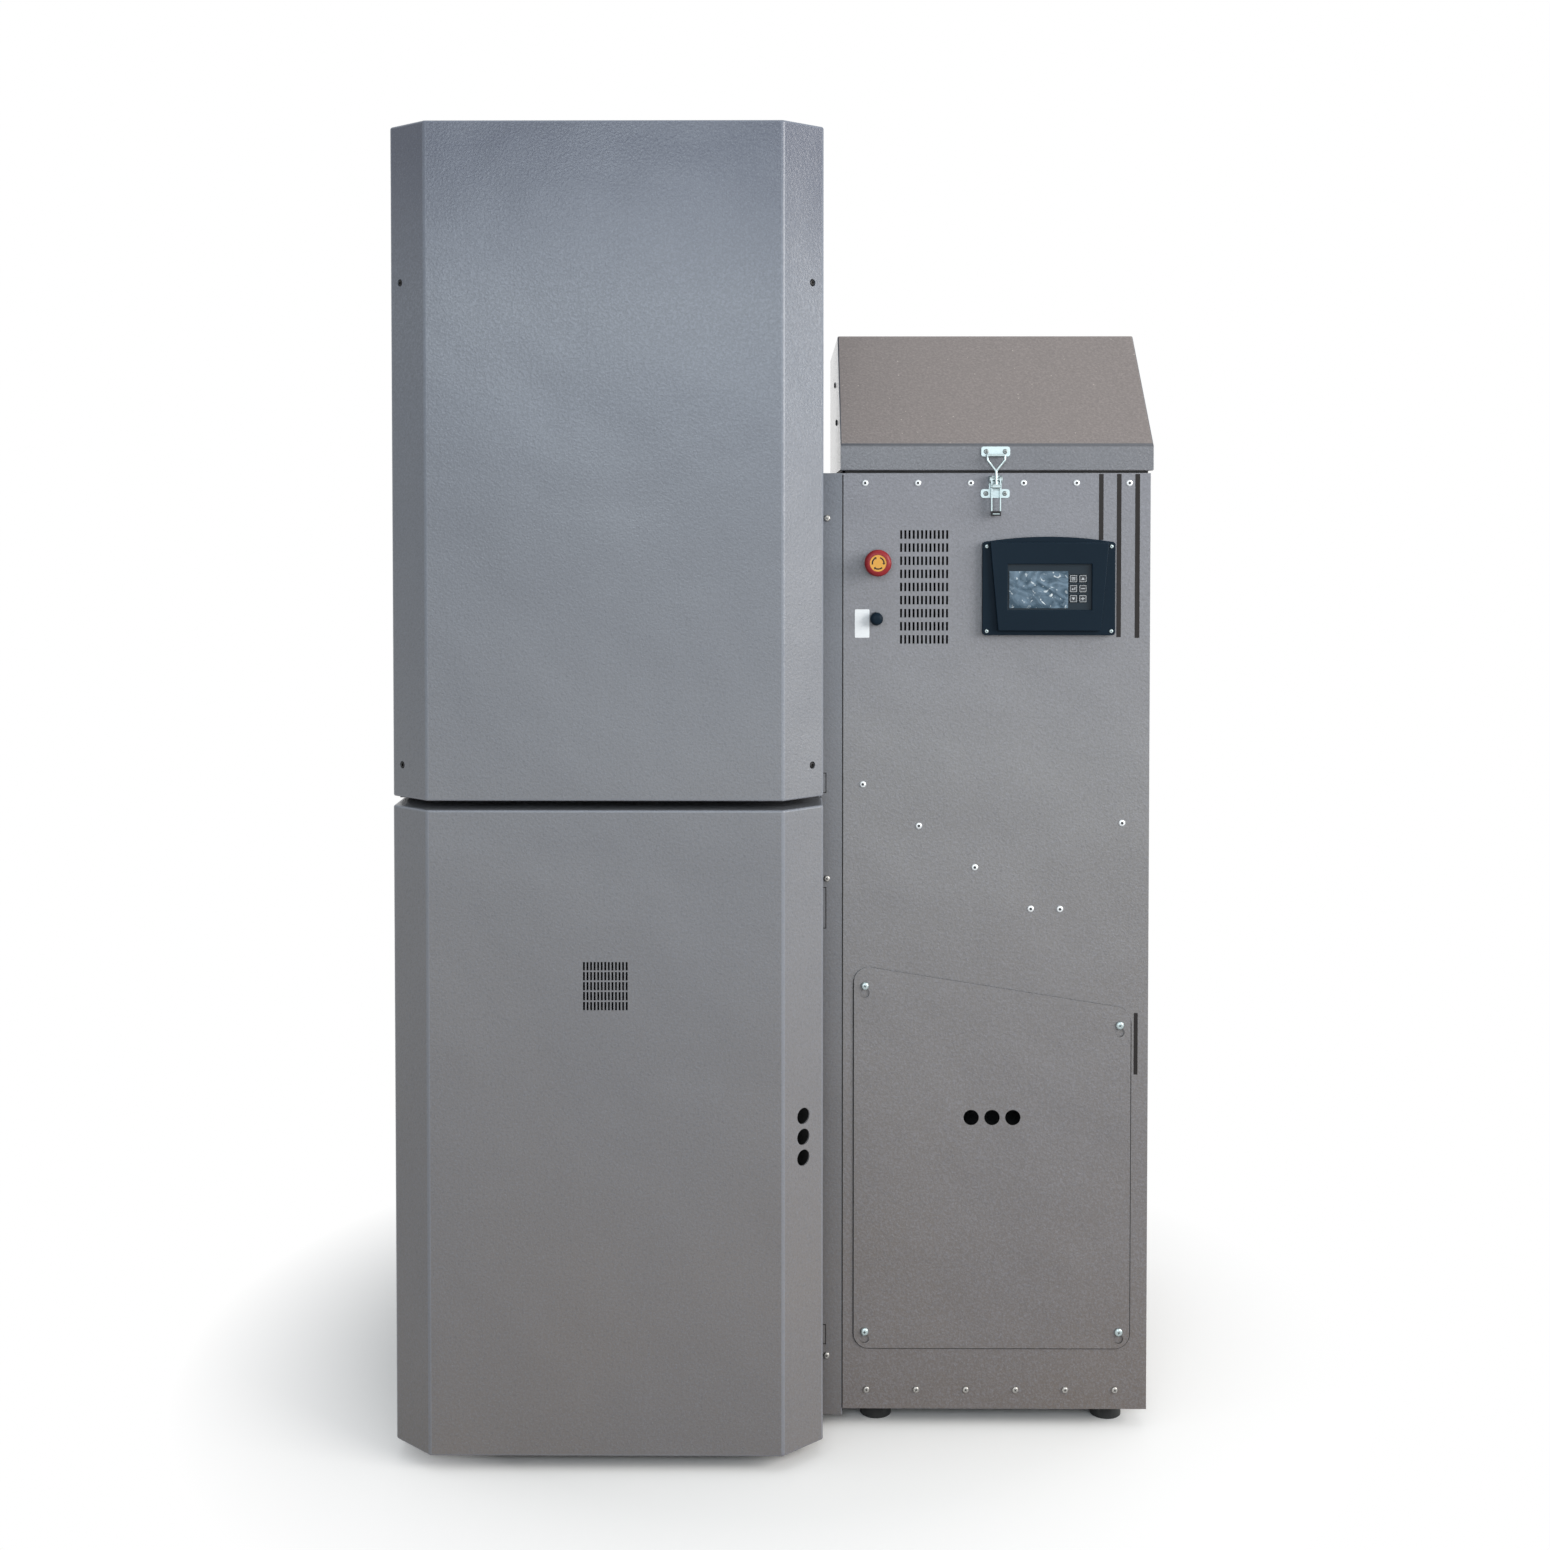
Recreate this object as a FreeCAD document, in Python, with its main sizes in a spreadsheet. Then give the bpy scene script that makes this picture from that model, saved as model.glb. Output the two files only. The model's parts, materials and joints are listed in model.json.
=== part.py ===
import FreeCAD, Part
import os
import re

import Sketcher

# A pellet boiler: a tall insulated boiler with two folded front covers, and beside it a lower
# cabinet that holds the pellet bin, the feed screw, the burner and the controls.
# Millimetres. X runs to the right along the front, Y to the back, Z up.
# The origin is on the floor, under the middle of the boiler's base.

DRIVING = {
    # Folded sheet and general fits
    "cover_sheet": 2,
    "panel_sheet": 1.5,
    "running_fit": 0.05,
    "slide_gap": 0.3,
    # Front covers of the boiler
    "cover_width": 530,
    "cover_flat": 432,
    "chamfer_depth": 43,
    "cover_reach": 115,
    "door_floor_gap": 20,
    "door_height": 792,
    "cover_gap": 11,
    "upper_cover_height": 820,
    "door_swing_gap": 10,
    "cover_screw_hole": 9,
    "cover_screw_setback": 18,
    "cover_screw_rise": 40,
    "cover_screw_drop": 191,
    "cover_post_width": 14,
    # Air grille and finger holes of the lower door
    "grille_slot_width": 2.3,
    "grille_slot_height": 10.2,
    "grille_pitch_across": 4.32,
    "grille_pitch_up": 12.17,
    "grille_columns": 13,
    "grille_rows": 5,
    "grille_rise": 578,
    "finger_hole": 20,
    "finger_pitch": 25.8,
    "finger_rise": 387,
    # Pivot hinge of the lower door
    "hinge_inset": 13,
    "hinge_pin": 8,
    "hinge_pin_reach": 18,
    "hinge_plate": 4,
    "hinge_plate_width": 26,
    "hinge_plate_setback": 1,
    "hinge_strap_width": 24,
    "hinge_strap_height": 72,
    "hinge_strap_setback": 2,
    "hinge_bolt_pitch": 28,
    "hinge_bolt_drop": 34,
    "hinge_bolt_head": 10,
    "hinge_bolt_rise": 4.5,
    # Jacket and base of the boiler
    "jacket_inset": 3,
    "jacket_depth": 640,
    "jacket_drop": 12,
    "base_height": 20,
    "base_plate": 4,
    "base_rail_width": 40,
    # Pressure vessel
    "vessel_width": 430,
    "vessel_sheet": 5,
    "vessel_front_gap": 40,
    "vessel_back_gap": 50,
    "vessel_top_gap": 70,
    "firebox_width": 300,
    "firebox_floor": 60,
    "firebox_height": 580,
    "firebox_depth": 470,
    "smokebox_height": 130,
    "smokebox_crown": 50,
    "fire_tube_bore": 60,
    "fire_tube_pitch": 95,
    "turbulator_width": 44,
    "turbulator_length": 420,
    "turbulator_sheet": 2,
    "turbulator_sway": 12,
    "hatch_plate": 8,
    "hatch_margin": 25,
    "hatch_plug": 36,
    "hatch_wall": 4,
    "hatch_fit": 2,
    "frame_margin_across": 50,
    "frame_margin_up": 37.5,
    "knob_hub": 24,
    "knob_lobe": 10,
    "knob_lobe_circle": 24,
    "knob_rise": 16,
    "knob_spread": 240,
    "knob_edge": 6,
    "ash_box_height": 90,
    "ash_box_depth": 400,
    "ash_box_fit": 10,
    # Connections at the back
    "flue_pipe": 150,
    "flue_wall": 3,
    "flue_reach": 80,
    "socket_pipe": 42,
    "socket_bore": 34,
    "socket_reach": 40,
    "socket_offset": 130,
    "socket_flow_drop": 110,
    "socket_return_rise": 120,
    # Pellet cabinet
    "cabinet_gap": 29,
    "cabinet_width": 389,
    "cabinet_depth": 560,
    "cabinet_low": 25,
    "cabinet_top": 1222,
    "cabinet_foot": 40,
    "cabinet_foot_inset": 45,
    "rim_width": 24,
    "control_bay": 78,
    "control_bay_height": 247,
    "seal_height": 3,
    "seal_width": 12,
    # Lid of the pellet bin
    "lid_overhang": 3,
    "lid_lip": 33,
    "lid_slope": 150,
    "lid_hinge_pin": 6,
    "lid_hinge_barrel": 11,
    "lid_hinge_length": 60,
    "lid_hinge_spread": 240,
    "lid_hinge_leaf": 2.5,
    "lid_hinge_leaf_height": 26,
    # Pellet bin bottom and feed screw
    "bin_left_depth": 377,
    "bin_right_depth": 397.5,
    "bin_rivet_first": 24,
    "bin_rivet_pitch": 71.2,
    "bin_rivet_right": 33,
    "bin_rivet_right_pitch": 78.3,
    "bin_outlet_middle": 258,
    "bin_outlet_width": 36,
    "bin_outlet_drop": 554,
    "bin_neck": 24,
    "bin_neck_dip": 10,
    "screw_tube": 76,
    "screw_tube_wall": 3,
    "screw_clearance": 2,
    "screw_shaft": 20,
    "screw_pitch": 80,
    "screw_flight": 4,
    "motor_size": 90,
    "motor_can": 76,
    "motor_length": 110,
    "motor_grip": 25,
    "chute_pipe": 60,
    "chute_wall": 2,
    "chute_setback": 50,
    # Burner
    "burner_height": 400,
    "burner_setback": 150,
    "burner_size": 150,
    "burner_length": 190,
    "burner_wall": 4,
    "flame_tube": 112,
    "flame_tube_wall": 4,
    "flame_tube_reach": 70,
    "burner_flange": 170,
    "burner_flange_plate": 6,
    "fan_width": 110,
    "fan_depth": 44,
    "fan_hub": 30,
    "air_hole": 15,
    "air_hole_circle": 60,
    "fan_blade": 2,
    "fan_gap": 3,
    "fan_shaft_width": 10,
    "burner_inset": 130,
    # Joining strip between boiler and cabinet
    "strip_low": 17,
    "strip_return": 26,
    "strip_screw_setback": 9,
    "strip_screw_drop": 57,
    "strip_screw_middle_drop": 515,
    "strip_screw_rise": 77,
    # Rivets and screws of the cabinet front
    "rivet_head": 8.8,
    "rivet_rise": 1.6,
    "rivet_row_drop": 12.5,
    "rivet_first": 28,
    "rivet_pitch": 66.8,
    "screw_row_rise": 25,
    "screw_first": 31,
    "screw_row_pitch": 63.5,
    "panel_screw_head": 8.5,
    "panel_screw_rise": 2.4,
    # Vent slots of the cabinet front
    "vent_slot_width": 2.6,
    "vent_slot_height": 10.9,
    "vent_pitch_across": 5.29,
    "vent_pitch_up": 16.61,
    "vent_columns": 12,
    "vent_rows": 9,
    "vent_left": 73.8,
    "vent_drop": 210.5,
    # Lift-off access cover
    "hatch_cover_left": 14.6,
    "hatch_cover_width": 352,
    "hatch_cover_low": 104,
    "hatch_cover_high": 597,
    "hatch_cover_fall": 56,
    "hatch_cover_corner": 19,
    "hatch_cover_margin": 34,
    "hook_inset": 13.8,
    "hook_low_rise": 21.5,
    "hook_high_drop": 27,
    "hook_right_drop": 21,
    "hook_head": 10.6,
    "hook_head_rise": 2.8,
    "hook_shank": 5,
    "keyhole_slot": 6.4,
    "keyhole_mouth": 12,
    "keyhole_drop": 9,
    "grip_hole": 19.6,
    "grip_pitch": 26.5,
    "grip_rise": 297.5,
    # Controller
    "controller_left": 176,
    "controller_drop": 204.6,
    "controller_width": 167.4,
    "controller_height": 117.3,
    "controller_arch": 7,
    "controller_rim": 9,
    "controller_corner": 4,
    "face_low_inset": 19,
    "face_high_inset": 9,
    "face_low_rise": 6,
    "controller_face": 7,
    "controller_box_depth": 42,
    "controller_box_margin": 4,
    "controller_box_gap": 2,
    "window_left": 31,
    "window_low": 32,
    "window_width": 106,
    "window_height": 58,
    "window_recess": 5,
    "display_width": 74,
    "display_height": 46.6,
    "display_inset": 2.4,
    "key_size": 9.6,
    "key_pitch_across": 11.9,
    "key_pitch_up": 12.6,
    "key_left": 114,
    "key_low": 46.4,
    "key_rise": 1.2,
    "key_corner": 1.6,
    "key_travel": 0.8,
    "key_gap": 0.35,
    # Emergency stop and safety thermostat
    "stop_left": 43.5,
    "stop_drop": 113.3,
    "stop_head": 34,
    "stop_collar": 30,
    "stop_collar_rise": 4,
    "stop_cap": 5,
    "stop_skirt": 6,
    "stop_stem": 12,
    "stop_reach": 26,
    "stop_travel": 4,
    "stop_block": 34,
    "stop_block_depth": 48,
    "stop_block_wall": 8,
    "stop_neck_inset": 3,
    "reset_left": 42.3,
    "reset_drop": 184.2,
    "reset_cap": 17,
    "reset_cap_rise": 13,
    "reset_cap_end": 3,
    "reset_neck": 10,
    "reset_body": 36,
    "reset_body_depth": 40,
    # Toggle latch of the lid
    "latch_middle": 192.4,
    "strike_width": 36.5,
    "strike_height": 12.8,
    "strike_drop": 2.5,
    "latch_plate": 1.6,
    "latch_base_width": 36.5,
    "latch_base_low": 31.3,
    "latch_base_height": 11,
    "latch_ear_gap": 13,
    "latch_ear_sheet": 1.5,
    "latch_ear_round": 4.5,
    "latch_pivot_drop": 8,
    "latch_link_out": 4,
    "latch_web": 6,
    "strike_hook_reach": 5,
    "strike_hook_width": 11,
    "latch_shoulder_drop": 6,
    "latch_throat_drop": 14,
    "latch_pin": 4,
    "latch_eye_wall": 1,
    "latch_lever_length": 46,
    "latch_link_drop": 9,
    "latch_wire": 3,
    "latch_loop_width": 22,
    "latch_rod": 3.4,
}

DERIVED = {
    # Section of the folded covers
    "half_cover": "cover_width / 2",
    "half_flat": "cover_flat / 2",
    "chamfer_width": "half_cover - half_flat",
    "chamfer_face": "sqrt(chamfer_width ^ 2 + chamfer_depth ^ 2)",
    "front_fold_inset": "cover_sheet * (chamfer_face - chamfer_width) / chamfer_depth",
    "side_fold_inset": "cover_sheet * (chamfer_face - chamfer_depth) / chamfer_width",
    "jacket_front": "-jacket_depth / 2",
    "jacket_back": "jacket_depth / 2",
    "cover_front": "jacket_front - cover_reach",
    "door_back": "jacket_front - door_swing_gap",
    "door_top": "door_floor_gap + door_height",
    "cover_low": "door_top + cover_gap",
    "cover_top": "cover_low + upper_cover_height",
    "cover_screw_low": "cover_low + cover_screw_rise",
    "cover_screw_high": "cover_top - cover_screw_drop",
    "grille_middle": "door_floor_gap + grille_rise",
    "finger_middle": "door_floor_gap + finger_rise",
    # Jacket
    "jacket_half": "half_cover - jacket_inset",
    "jacket_inner": "jacket_half - panel_sheet",
    "jacket_top": "cover_top - jacket_drop",
    # Vessel
    "vessel_half": "vessel_width / 2",
    "vessel_front": "jacket_front + vessel_front_gap",
    "vessel_back": "jacket_back - vessel_back_gap",
    "vessel_top": "jacket_top - vessel_top_gap",
    "firebox_half": "firebox_width / 2",
    "firebox_low": "base_height + firebox_floor",
    "firebox_top": "firebox_low + firebox_height",
    "smokebox_top": "vessel_top - smokebox_crown",
    "smokebox_low": "smokebox_top - smokebox_height",
    "passage_middle": "vessel_front + firebox_depth / 2",
    "flue_height": "(smokebox_low + smokebox_top) / 2",
    "flow_height": "vessel_top - socket_flow_drop",
    "return_height": "base_height + socket_return_rise",
    # Door hinge
    "pivot_x": "-(half_cover - hinge_inset)",
    "pivot_y": "door_back - hinge_inset",
    "hinge_plate_high": "door_top + (cover_gap - hinge_plate) / 2",
    "hinge_plate_low": "(door_floor_gap - hinge_plate) / 2",
    "hinge_bolt_high": "door_top - hinge_bolt_drop",
    "hinge_bolt_low": "hinge_bolt_high - hinge_bolt_pitch",
    # Cabinet
    "cabinet_left": "jacket_half + cabinet_gap",
    "cabinet_right": "cabinet_left + cabinet_width",
    "cabinet_front": "jacket_front",
    "cabinet_back": "cabinet_front + cabinet_depth",
    "inner_left": "cabinet_left + panel_sheet",
    "inner_right": "cabinet_right - panel_sheet",
    "inner_front": "cabinet_front + panel_sheet",
    "inner_back": "cabinet_back - panel_sheet",
    "bay_back": "inner_front + control_bay",
    "control_bay_low": "cabinet_top - control_bay_height",
    "strip_screw_high": "cabinet_top - strip_screw_drop",
    "strip_screw_middle": "cabinet_top - strip_screw_middle_drop",
    "strip_screw_low": "strip_low + strip_screw_rise",
    "vent_low": "cabinet_top - vent_drop",
    # Lid
    "lid_low": "cabinet_top + seal_height",
    "lid_bend": "lid_low + lid_lip",
    "lid_top": "lid_bend + lid_slope",
    "lid_left": "cabinet_left - lid_overhang",
    "lid_right": "cabinet_right + lid_overhang",
    "lid_front": "cabinet_front - lid_overhang",
    "lid_back": "cabinet_back",
    "lid_fold": "panel_sheet * tan(22.5 deg)",
    "lid_axis_y": "cabinet_back + lid_hinge_barrel / 2 + slide_gap",
    "lid_axis_z": "cabinet_top + seal_height / 2",
    # Bin bottom and feed screw
    "bin_shoulder": "cabinet_top - bin_left_depth",
    "bin_right_shoulder": "cabinet_top - bin_right_depth",
    "bin_outlet_height": "cabinet_top - bin_outlet_drop",
    "outlet_x": "cabinet_left + bin_outlet_middle",
    "neck_low": "bin_outlet_height - bin_neck",
    "screw_radius": "screw_tube / 2 - screw_tube_wall - screw_clearance",
    "screw_z": "neck_low - screw_tube / 2 + bin_neck_dip",
    # Burner
    "burner_y": "jacket_front + burner_setback",
    "burner_left": "cabinet_left + burner_inset",
    "burner_right": "burner_left + burner_length",
    "burner_low": "burner_height - burner_size / 2",
    "burner_high": "burner_height + burner_size / 2",
    # Access cover
    "hatch_x": "cabinet_left + hatch_cover_left",
    "hatch_x_end": "hatch_x + hatch_cover_width",
    "hatch_z_end": "hatch_cover_high - hatch_cover_fall",
    "hatch_y": "cabinet_front - slide_gap - panel_sheet",
    "grip_x": "hatch_x + hatch_cover_width / 2",
    "grip_middle": "hatch_cover_low + grip_rise",
    # Controller
    "controller_x": "cabinet_left + controller_left",
    "controller_low": "cabinet_top - controller_drop",
    "controller_x_end": "controller_x + controller_width",
    "controller_z_end": "controller_low + controller_height",
    "window_x": "controller_x + window_left",
    "window_z": "controller_low + window_low",
    "window_x_end": "window_x + window_width",
    "window_z_end": "window_z + window_height",
    "window_floor": "cabinet_front - controller_rim - controller_face + window_recess",
    "display_x": "window_x + display_inset",
    "display_z": "window_z + display_inset",
    "key_x": "controller_x + key_left",
    "key_z": "controller_low + key_low",
    # Stop button, reset cap, latch
    "stop_x": "cabinet_left + stop_left",
    "stop_height": "cabinet_top - stop_drop",
    "reset_x": "cabinet_left + reset_left",
    "reset_height": "cabinet_top - reset_drop",
    "latch_x": "cabinet_left + latch_middle",
    "latch_pivot_z": "cabinet_top - latch_pivot_drop",
    "latch_link_z": "latch_pivot_z - latch_link_drop",
    "strike_top": "lid_bend - strike_drop",
    "strike_low": "strike_top - strike_height",
    "loop_y": "lid_front - latch_plate - strike_hook_reach - slide_gap - latch_wire / 2",
}

doc = FreeCAD.newDocument("pellet_boiler")
sizes = doc.addObject("Spreadsheet::Sheet", "sizes")
for row, (name, entry) in enumerate({**DRIVING, **DERIVED}.items(), start=1):
    cell = f"B{row}"
    sizes.set(f"A{row}", name)
    sizes.set(cell, f"={entry}" if name in DERIVED else str(entry))
    sizes.setAlias(cell, name)
doc.recompute()

WORD = re.compile(r"[a-z_]\w*")
PARALLEL = 0.999
NODES = []


def expression(text):
    """The text with each size's name pointed at the sheet."""
    known = lambda word: word.group() in DRIVING or word.group() in DERIVED
    return WORD.sub(lambda word: f"sizes.{word.group()}" if known(word) else word.group(), str(text))


def measure(text):
    """The present value of a size or of a sum of sizes."""
    return float(sizes.evalExpression(expression(text)))


def bind(thing, path, text):
    thing.setExpression(path, expression(text))


def place(thing, x, y, z):
    for axis, text in zip("xyz", (x, y, z)):
        bind(thing, f"Placement.Base.{axis}", text)


def node(name, thing):
    """Keep a finished piece under the name of its file."""
    thing.Label = name
    NODES.append(thing)
    return thing


def block(name, x, y, z):
    """A block between two bounds on each axis."""
    thing = doc.addObject("Part::Box", name)
    for side, (low, high) in zip(("Length", "Width", "Height"), (x, y, z)):
        bind(thing, side, f"({high}) - ({low})")
    place(thing, x[0], y[0], z[0])
    return thing


TURN_TO = {
    "x": FreeCAD.Rotation(FreeCAD.Vector(0, 1, 0), 90),
    "y": FreeCAD.Rotation(FreeCAD.Vector(1, 0, 0), -90),
    "z": FreeCAD.Rotation(),
}


def rod(name, along, start, radius, length):
    """A round bar from a start point along +X, +Y or +Z."""
    thing = doc.addObject("Part::Cylinder", name)
    thing.Placement = FreeCAD.Placement(FreeCAD.Vector(), TURN_TO[along])
    bind(thing, "Radius", radius)
    bind(thing, "Height", length)
    place(thing, *start)
    return thing


def joined(name, pieces):
    thing = doc.addObject("Part::MultiFuse", name)
    thing.Shapes = pieces
    thing.Refine = True
    return thing


def cut(name, base, tools):
    thing = doc.addObject("Part::Cut", name)
    thing.Base = base
    thing.Tool = tools[0] if len(tools) == 1 else joined(f"{name}_tools", tools)
    thing.Refine = True
    return thing


def group(name, pieces):
    """Like pieces that share one node and stay separate solids."""
    thing = doc.addObject("Part::Compound", name)
    thing.Links = pieces
    return node(name, thing)


def pipe(name, along, start, outer, inner, length):
    """A round tube from a start point."""
    wall = rod(f"{name}_outer", along, start, outer, length)
    return cut(name, wall, [rod(f"{name}_bore", along, start, inner, length)])


def body(name):
    return doc.addObject("PartDesign::Body", name)


def sketch_on(owner, role, offset):
    """A sketch on one of the body's own planes, shifted along the plane's normal."""
    plane = next(part for part in owner.Origin.OriginFeatures if part.Role == role)
    sketch = owner.newObject("Sketcher::SketchObject", f"{owner.Name}_sketch")
    sketch.AttachmentSupport = [(plane, "")]
    sketch.MapMode = "FlatFace"
    bind(sketch, "AttachmentOffset.Base.z", offset)
    return sketch


def limit(sketch, kind, text, *ends):
    index = sketch.addConstraint(Sketcher.Constraint(kind, *ends, measure(text)))
    bind(sketch, f"Constraints[{index}]", text)


def pin(sketch, edge, end, u, v):
    """Hold one point of an edge at its place in the sketch."""
    limit(sketch, "DistanceX", u, -1, 1, edge, end)
    limit(sketch, "DistanceY", v, -1, 1, edge, end)


def outline(sketch, points):
    """A closed outline of straight edges."""
    spots = [FreeCAD.Vector(measure(u), measure(v), 0) for u, v in points]
    edges = [sketch.addGeometry(Part.LineSegment(a, b)) for a, b in zip(spots, spots[1:] + spots[:1])]
    for edge, following in zip(edges, edges[1:] + edges[:1]):
        sketch.addConstraint(Sketcher.Constraint("Coincident", edge, 2, following, 1))
    for edge, (u, v) in zip(edges, points):
        pin(sketch, edge, 1, u, v)


def circle(sketch, u, v, radius):
    centre = FreeCAD.Vector(measure(u), measure(v), 0)
    ring = sketch.addGeometry(Part.Circle(centre, FreeCAD.Vector(0, 0, 1), measure(radius)))
    pin(sketch, ring, 3, u, v)
    limit(sketch, "Radius", radius, ring)


def rectangle(u, v):
    """Corner points between two bounds on each axis."""
    return [(u[0], v[0]), (u[1], v[0]), (u[1], v[1]), (u[0], v[1])]


def fill(sketch, outlines, circles):
    for points in outlines:
        outline(sketch, points)
    for ring in circles:
        circle(sketch, *ring)
    return sketch


def pad(owner, role, offset, length, outlines=(), circles=(), sketch=None):
    """Add material along the plane's normal: +Z on XY, -Y on XZ, +X on YZ."""
    sketch = fill(sketch or sketch_on(owner, role, offset), outlines, circles)
    feature = owner.newObject("PartDesign::Pad", f"{owner.Name}_pad")
    feature.Profile = sketch
    bind(feature, "Length", length)
    doc.recompute()
    return feature


def pocket(owner, role, offset, length, outlines=(), circles=(), turned=False, sketch=None):
    """Cut material against the plane's normal, or along it when turned."""
    sketch = fill(sketch or sketch_on(owner, role, offset), outlines, circles)
    before = owner.Shape.Volume
    feature = owner.newObject("PartDesign::Pocket", f"{owner.Name}_pocket")
    feature.Profile = sketch
    feature.Reversed = turned
    bind(feature, "Length", length)
    doc.recompute()
    if owner.Shape.Volume >= before:
        raise ValueError(f"{feature.Name} cuts nothing")
    return feature


def repeat(owner, feature, pitch, count):
    """Repeat a feature across and up its sketch."""
    grid = owner.newObject("PartDesign::LinearPattern", f"{feature.Name}_grid")
    grid.Originals = [feature]
    grid.Direction = (feature.Profile[0], ["H_Axis"])
    grid.Direction2 = (feature.Profile[0], ["V_Axis"])
    for end, step, number in zip(("", "2"), pitch, count):
        bind(grid, f"Length{end}", f"({step}) * ({number} - 1)")
        bind(grid, f"Occurrences{end}", number)
    owner.Tip = grid
    doc.recompute()
    return grid


def round_edges(owner, radius, chosen):
    """Round the edges of the body that the test picks."""
    base = owner.Tip
    picked = [f"Edge{number}" for number, edge in enumerate(base.Shape.Edges, start=1) if chosen(edge)]
    feature = owner.newObject("PartDesign::Fillet", f"{owner.Name}_fillet")
    feature.Base = (base, picked)
    bind(feature, "Radius", radius)
    doc.recompute()
    return feature


def runs_along(axis):
    """A test for straight edges along one axis."""
    way = {"x": FreeCAD.Vector(1, 0, 0), "y": FreeCAD.Vector(0, 1, 0), "z": FreeCAD.Vector(0, 0, 1)}[axis]
    return lambda edge: edge.Curve.TypeId == "Part::GeomLine" and abs(edge.tangentAt(0).dot(way)) > PARALLEL


def plate(name, role, offset, thickness, outlines, circles=()):
    """A flat sheet with its holes, kept as a body."""
    owner = body(name)
    pad(owner, role, offset, thickness, outlines, circles)
    return owner


# Boiler base: a plate with two rails that carry the vessel and an upturned edge

base = body("base_frame")
base_rim = rectangle(("-jacket_half", "jacket_half"), ("jacket_front", "jacket_back"))
base_well = rectangle(
    ("-jacket_half + panel_sheet", "jacket_half - panel_sheet"),
    ("jacket_front + panel_sheet", "jacket_back - panel_sheet"),
)
pad(base, "XY_Plane", "0", "base_plate", [base_rim])
pad(base, "XY_Plane", "0", "base_height", [base_rim, base_well])
for side in (-1, 1):
    outer = f"{side} * firebox_half - base_rail_width / 2"
    inner = f"{side} * firebox_half + base_rail_width / 2"
    rail = rectangle((outer, inner), ("vessel_front", "vessel_back"))
    pad(base, "XY_Plane", "0", "base_height", [rail])
node("base_frame", base)


# Pressure vessel: firebox below, smoke box above, upright fire tubes between them

vessel = body("vessel_block")
vessel_wall = rectangle(("-vessel_half", "vessel_half"), ("vessel_front", "vessel_back"))
pad(vessel, "XY_Plane", "base_height", "vessel_top - base_height", [vessel_wall])
firebox_mouth = rectangle(("-firebox_half", "firebox_half"), ("firebox_low", "firebox_top"))
smokebox_mouth = rectangle(("-firebox_half", "firebox_half"), ("smokebox_low", "smokebox_top"))
pocket(vessel, "XZ_Plane", "-vessel_front", "firebox_depth", [firebox_mouth, smokebox_mouth])

TUBE_COLUMNS = (-1, 0, 1)
TUBE_ROWS = (-1.5, -0.5, 0.5, 1.5)
tube_places = [
    (f"{column} * fire_tube_pitch", f"passage_middle + {row} * fire_tube_pitch")
    for column in TUBE_COLUMNS
    for row in TUBE_ROWS
]
tube_bores = [(x, y, "fire_tube_bore / 2") for x, y in tube_places]
pocket(vessel, "XY_Plane", "smokebox_low", "smokebox_low - firebox_top", circles=tube_bores)
flue_bore = [("0", "flue_height", "flue_pipe / 2 - flue_wall")]
flue_depth = "vessel_back - vessel_front - firebox_depth"
pocket(vessel, "XZ_Plane", "-vessel_back", flue_depth, circles=flue_bore, turned=True)
burner_bore = [("burner_y", "burner_height", "flame_tube / 2 + hatch_fit")]
pocket(vessel, "YZ_Plane", "vessel_half", "vessel_half - firebox_half", circles=burner_bore)

# The water space is what the outer wall encloses, less the walls of the firebox, flues and sleeves


def sleeve(name, along, start, radius, length):
    return rod(name, along, start, f"{radius} + vessel_sheet", length)


def fire_wall(name, low, high):
    return block(
        name,
        ("-firebox_half - vessel_sheet", "firebox_half + vessel_sheet"),
        ("vessel_front", "vessel_front + firebox_depth + vessel_sheet"),
        (f"{low} - vessel_sheet", f"{high} + vessel_sheet"),
    )


water_bounds = block(
    "water_bounds",
    ("-vessel_half + vessel_sheet", "vessel_half - vessel_sheet"),
    ("vessel_front + vessel_sheet", "vessel_back - vessel_sheet"),
    ("base_height + vessel_sheet", "vessel_top - vessel_sheet"),
)
dry_walls = [
    fire_wall("firebox_wall", "firebox_low", "firebox_top"),
    fire_wall("smokebox_wall", "smokebox_low", "smokebox_top"),
    sleeve(
        "flue_sleeve", "y", ("0", "vessel_front + firebox_depth", "flue_height"), "flue_pipe / 2", flue_depth
    ),
    sleeve(
        "burner_sleeve",
        "x",
        ("firebox_half", "burner_y", "burner_height"),
        "flame_tube / 2 + hatch_fit",
        "vessel_half - firebox_half",
    ),
]
tube_length = "smokebox_low - firebox_top"
for number, (x, y) in enumerate(tube_places):
    start = (x, y, "firebox_top")
    dry_walls.append(sleeve(f"tube_wall_{number}", "z", start, "fire_tube_bore / 2", tube_length))
socket_places = [("-socket_offset", "flow_height"), ("socket_offset", "return_height")]
water_ways = [
    rod(f"water_way_{number}", "y", (x, "vessel_back - vessel_sheet", z), "socket_bore / 2", "vessel_sheet")
    for number, (x, z) in enumerate(socket_places)
]
water_space = cut("water_space", water_bounds, dry_walls)
node("boiler_vessel", cut("vessel_shell", vessel, [water_space, *water_ways]))


# Turbulators: a zigzag strip in each fire tube, hung from a cross bar on the smoke box floor

ZIGZAG_BENDS = 7


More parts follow.
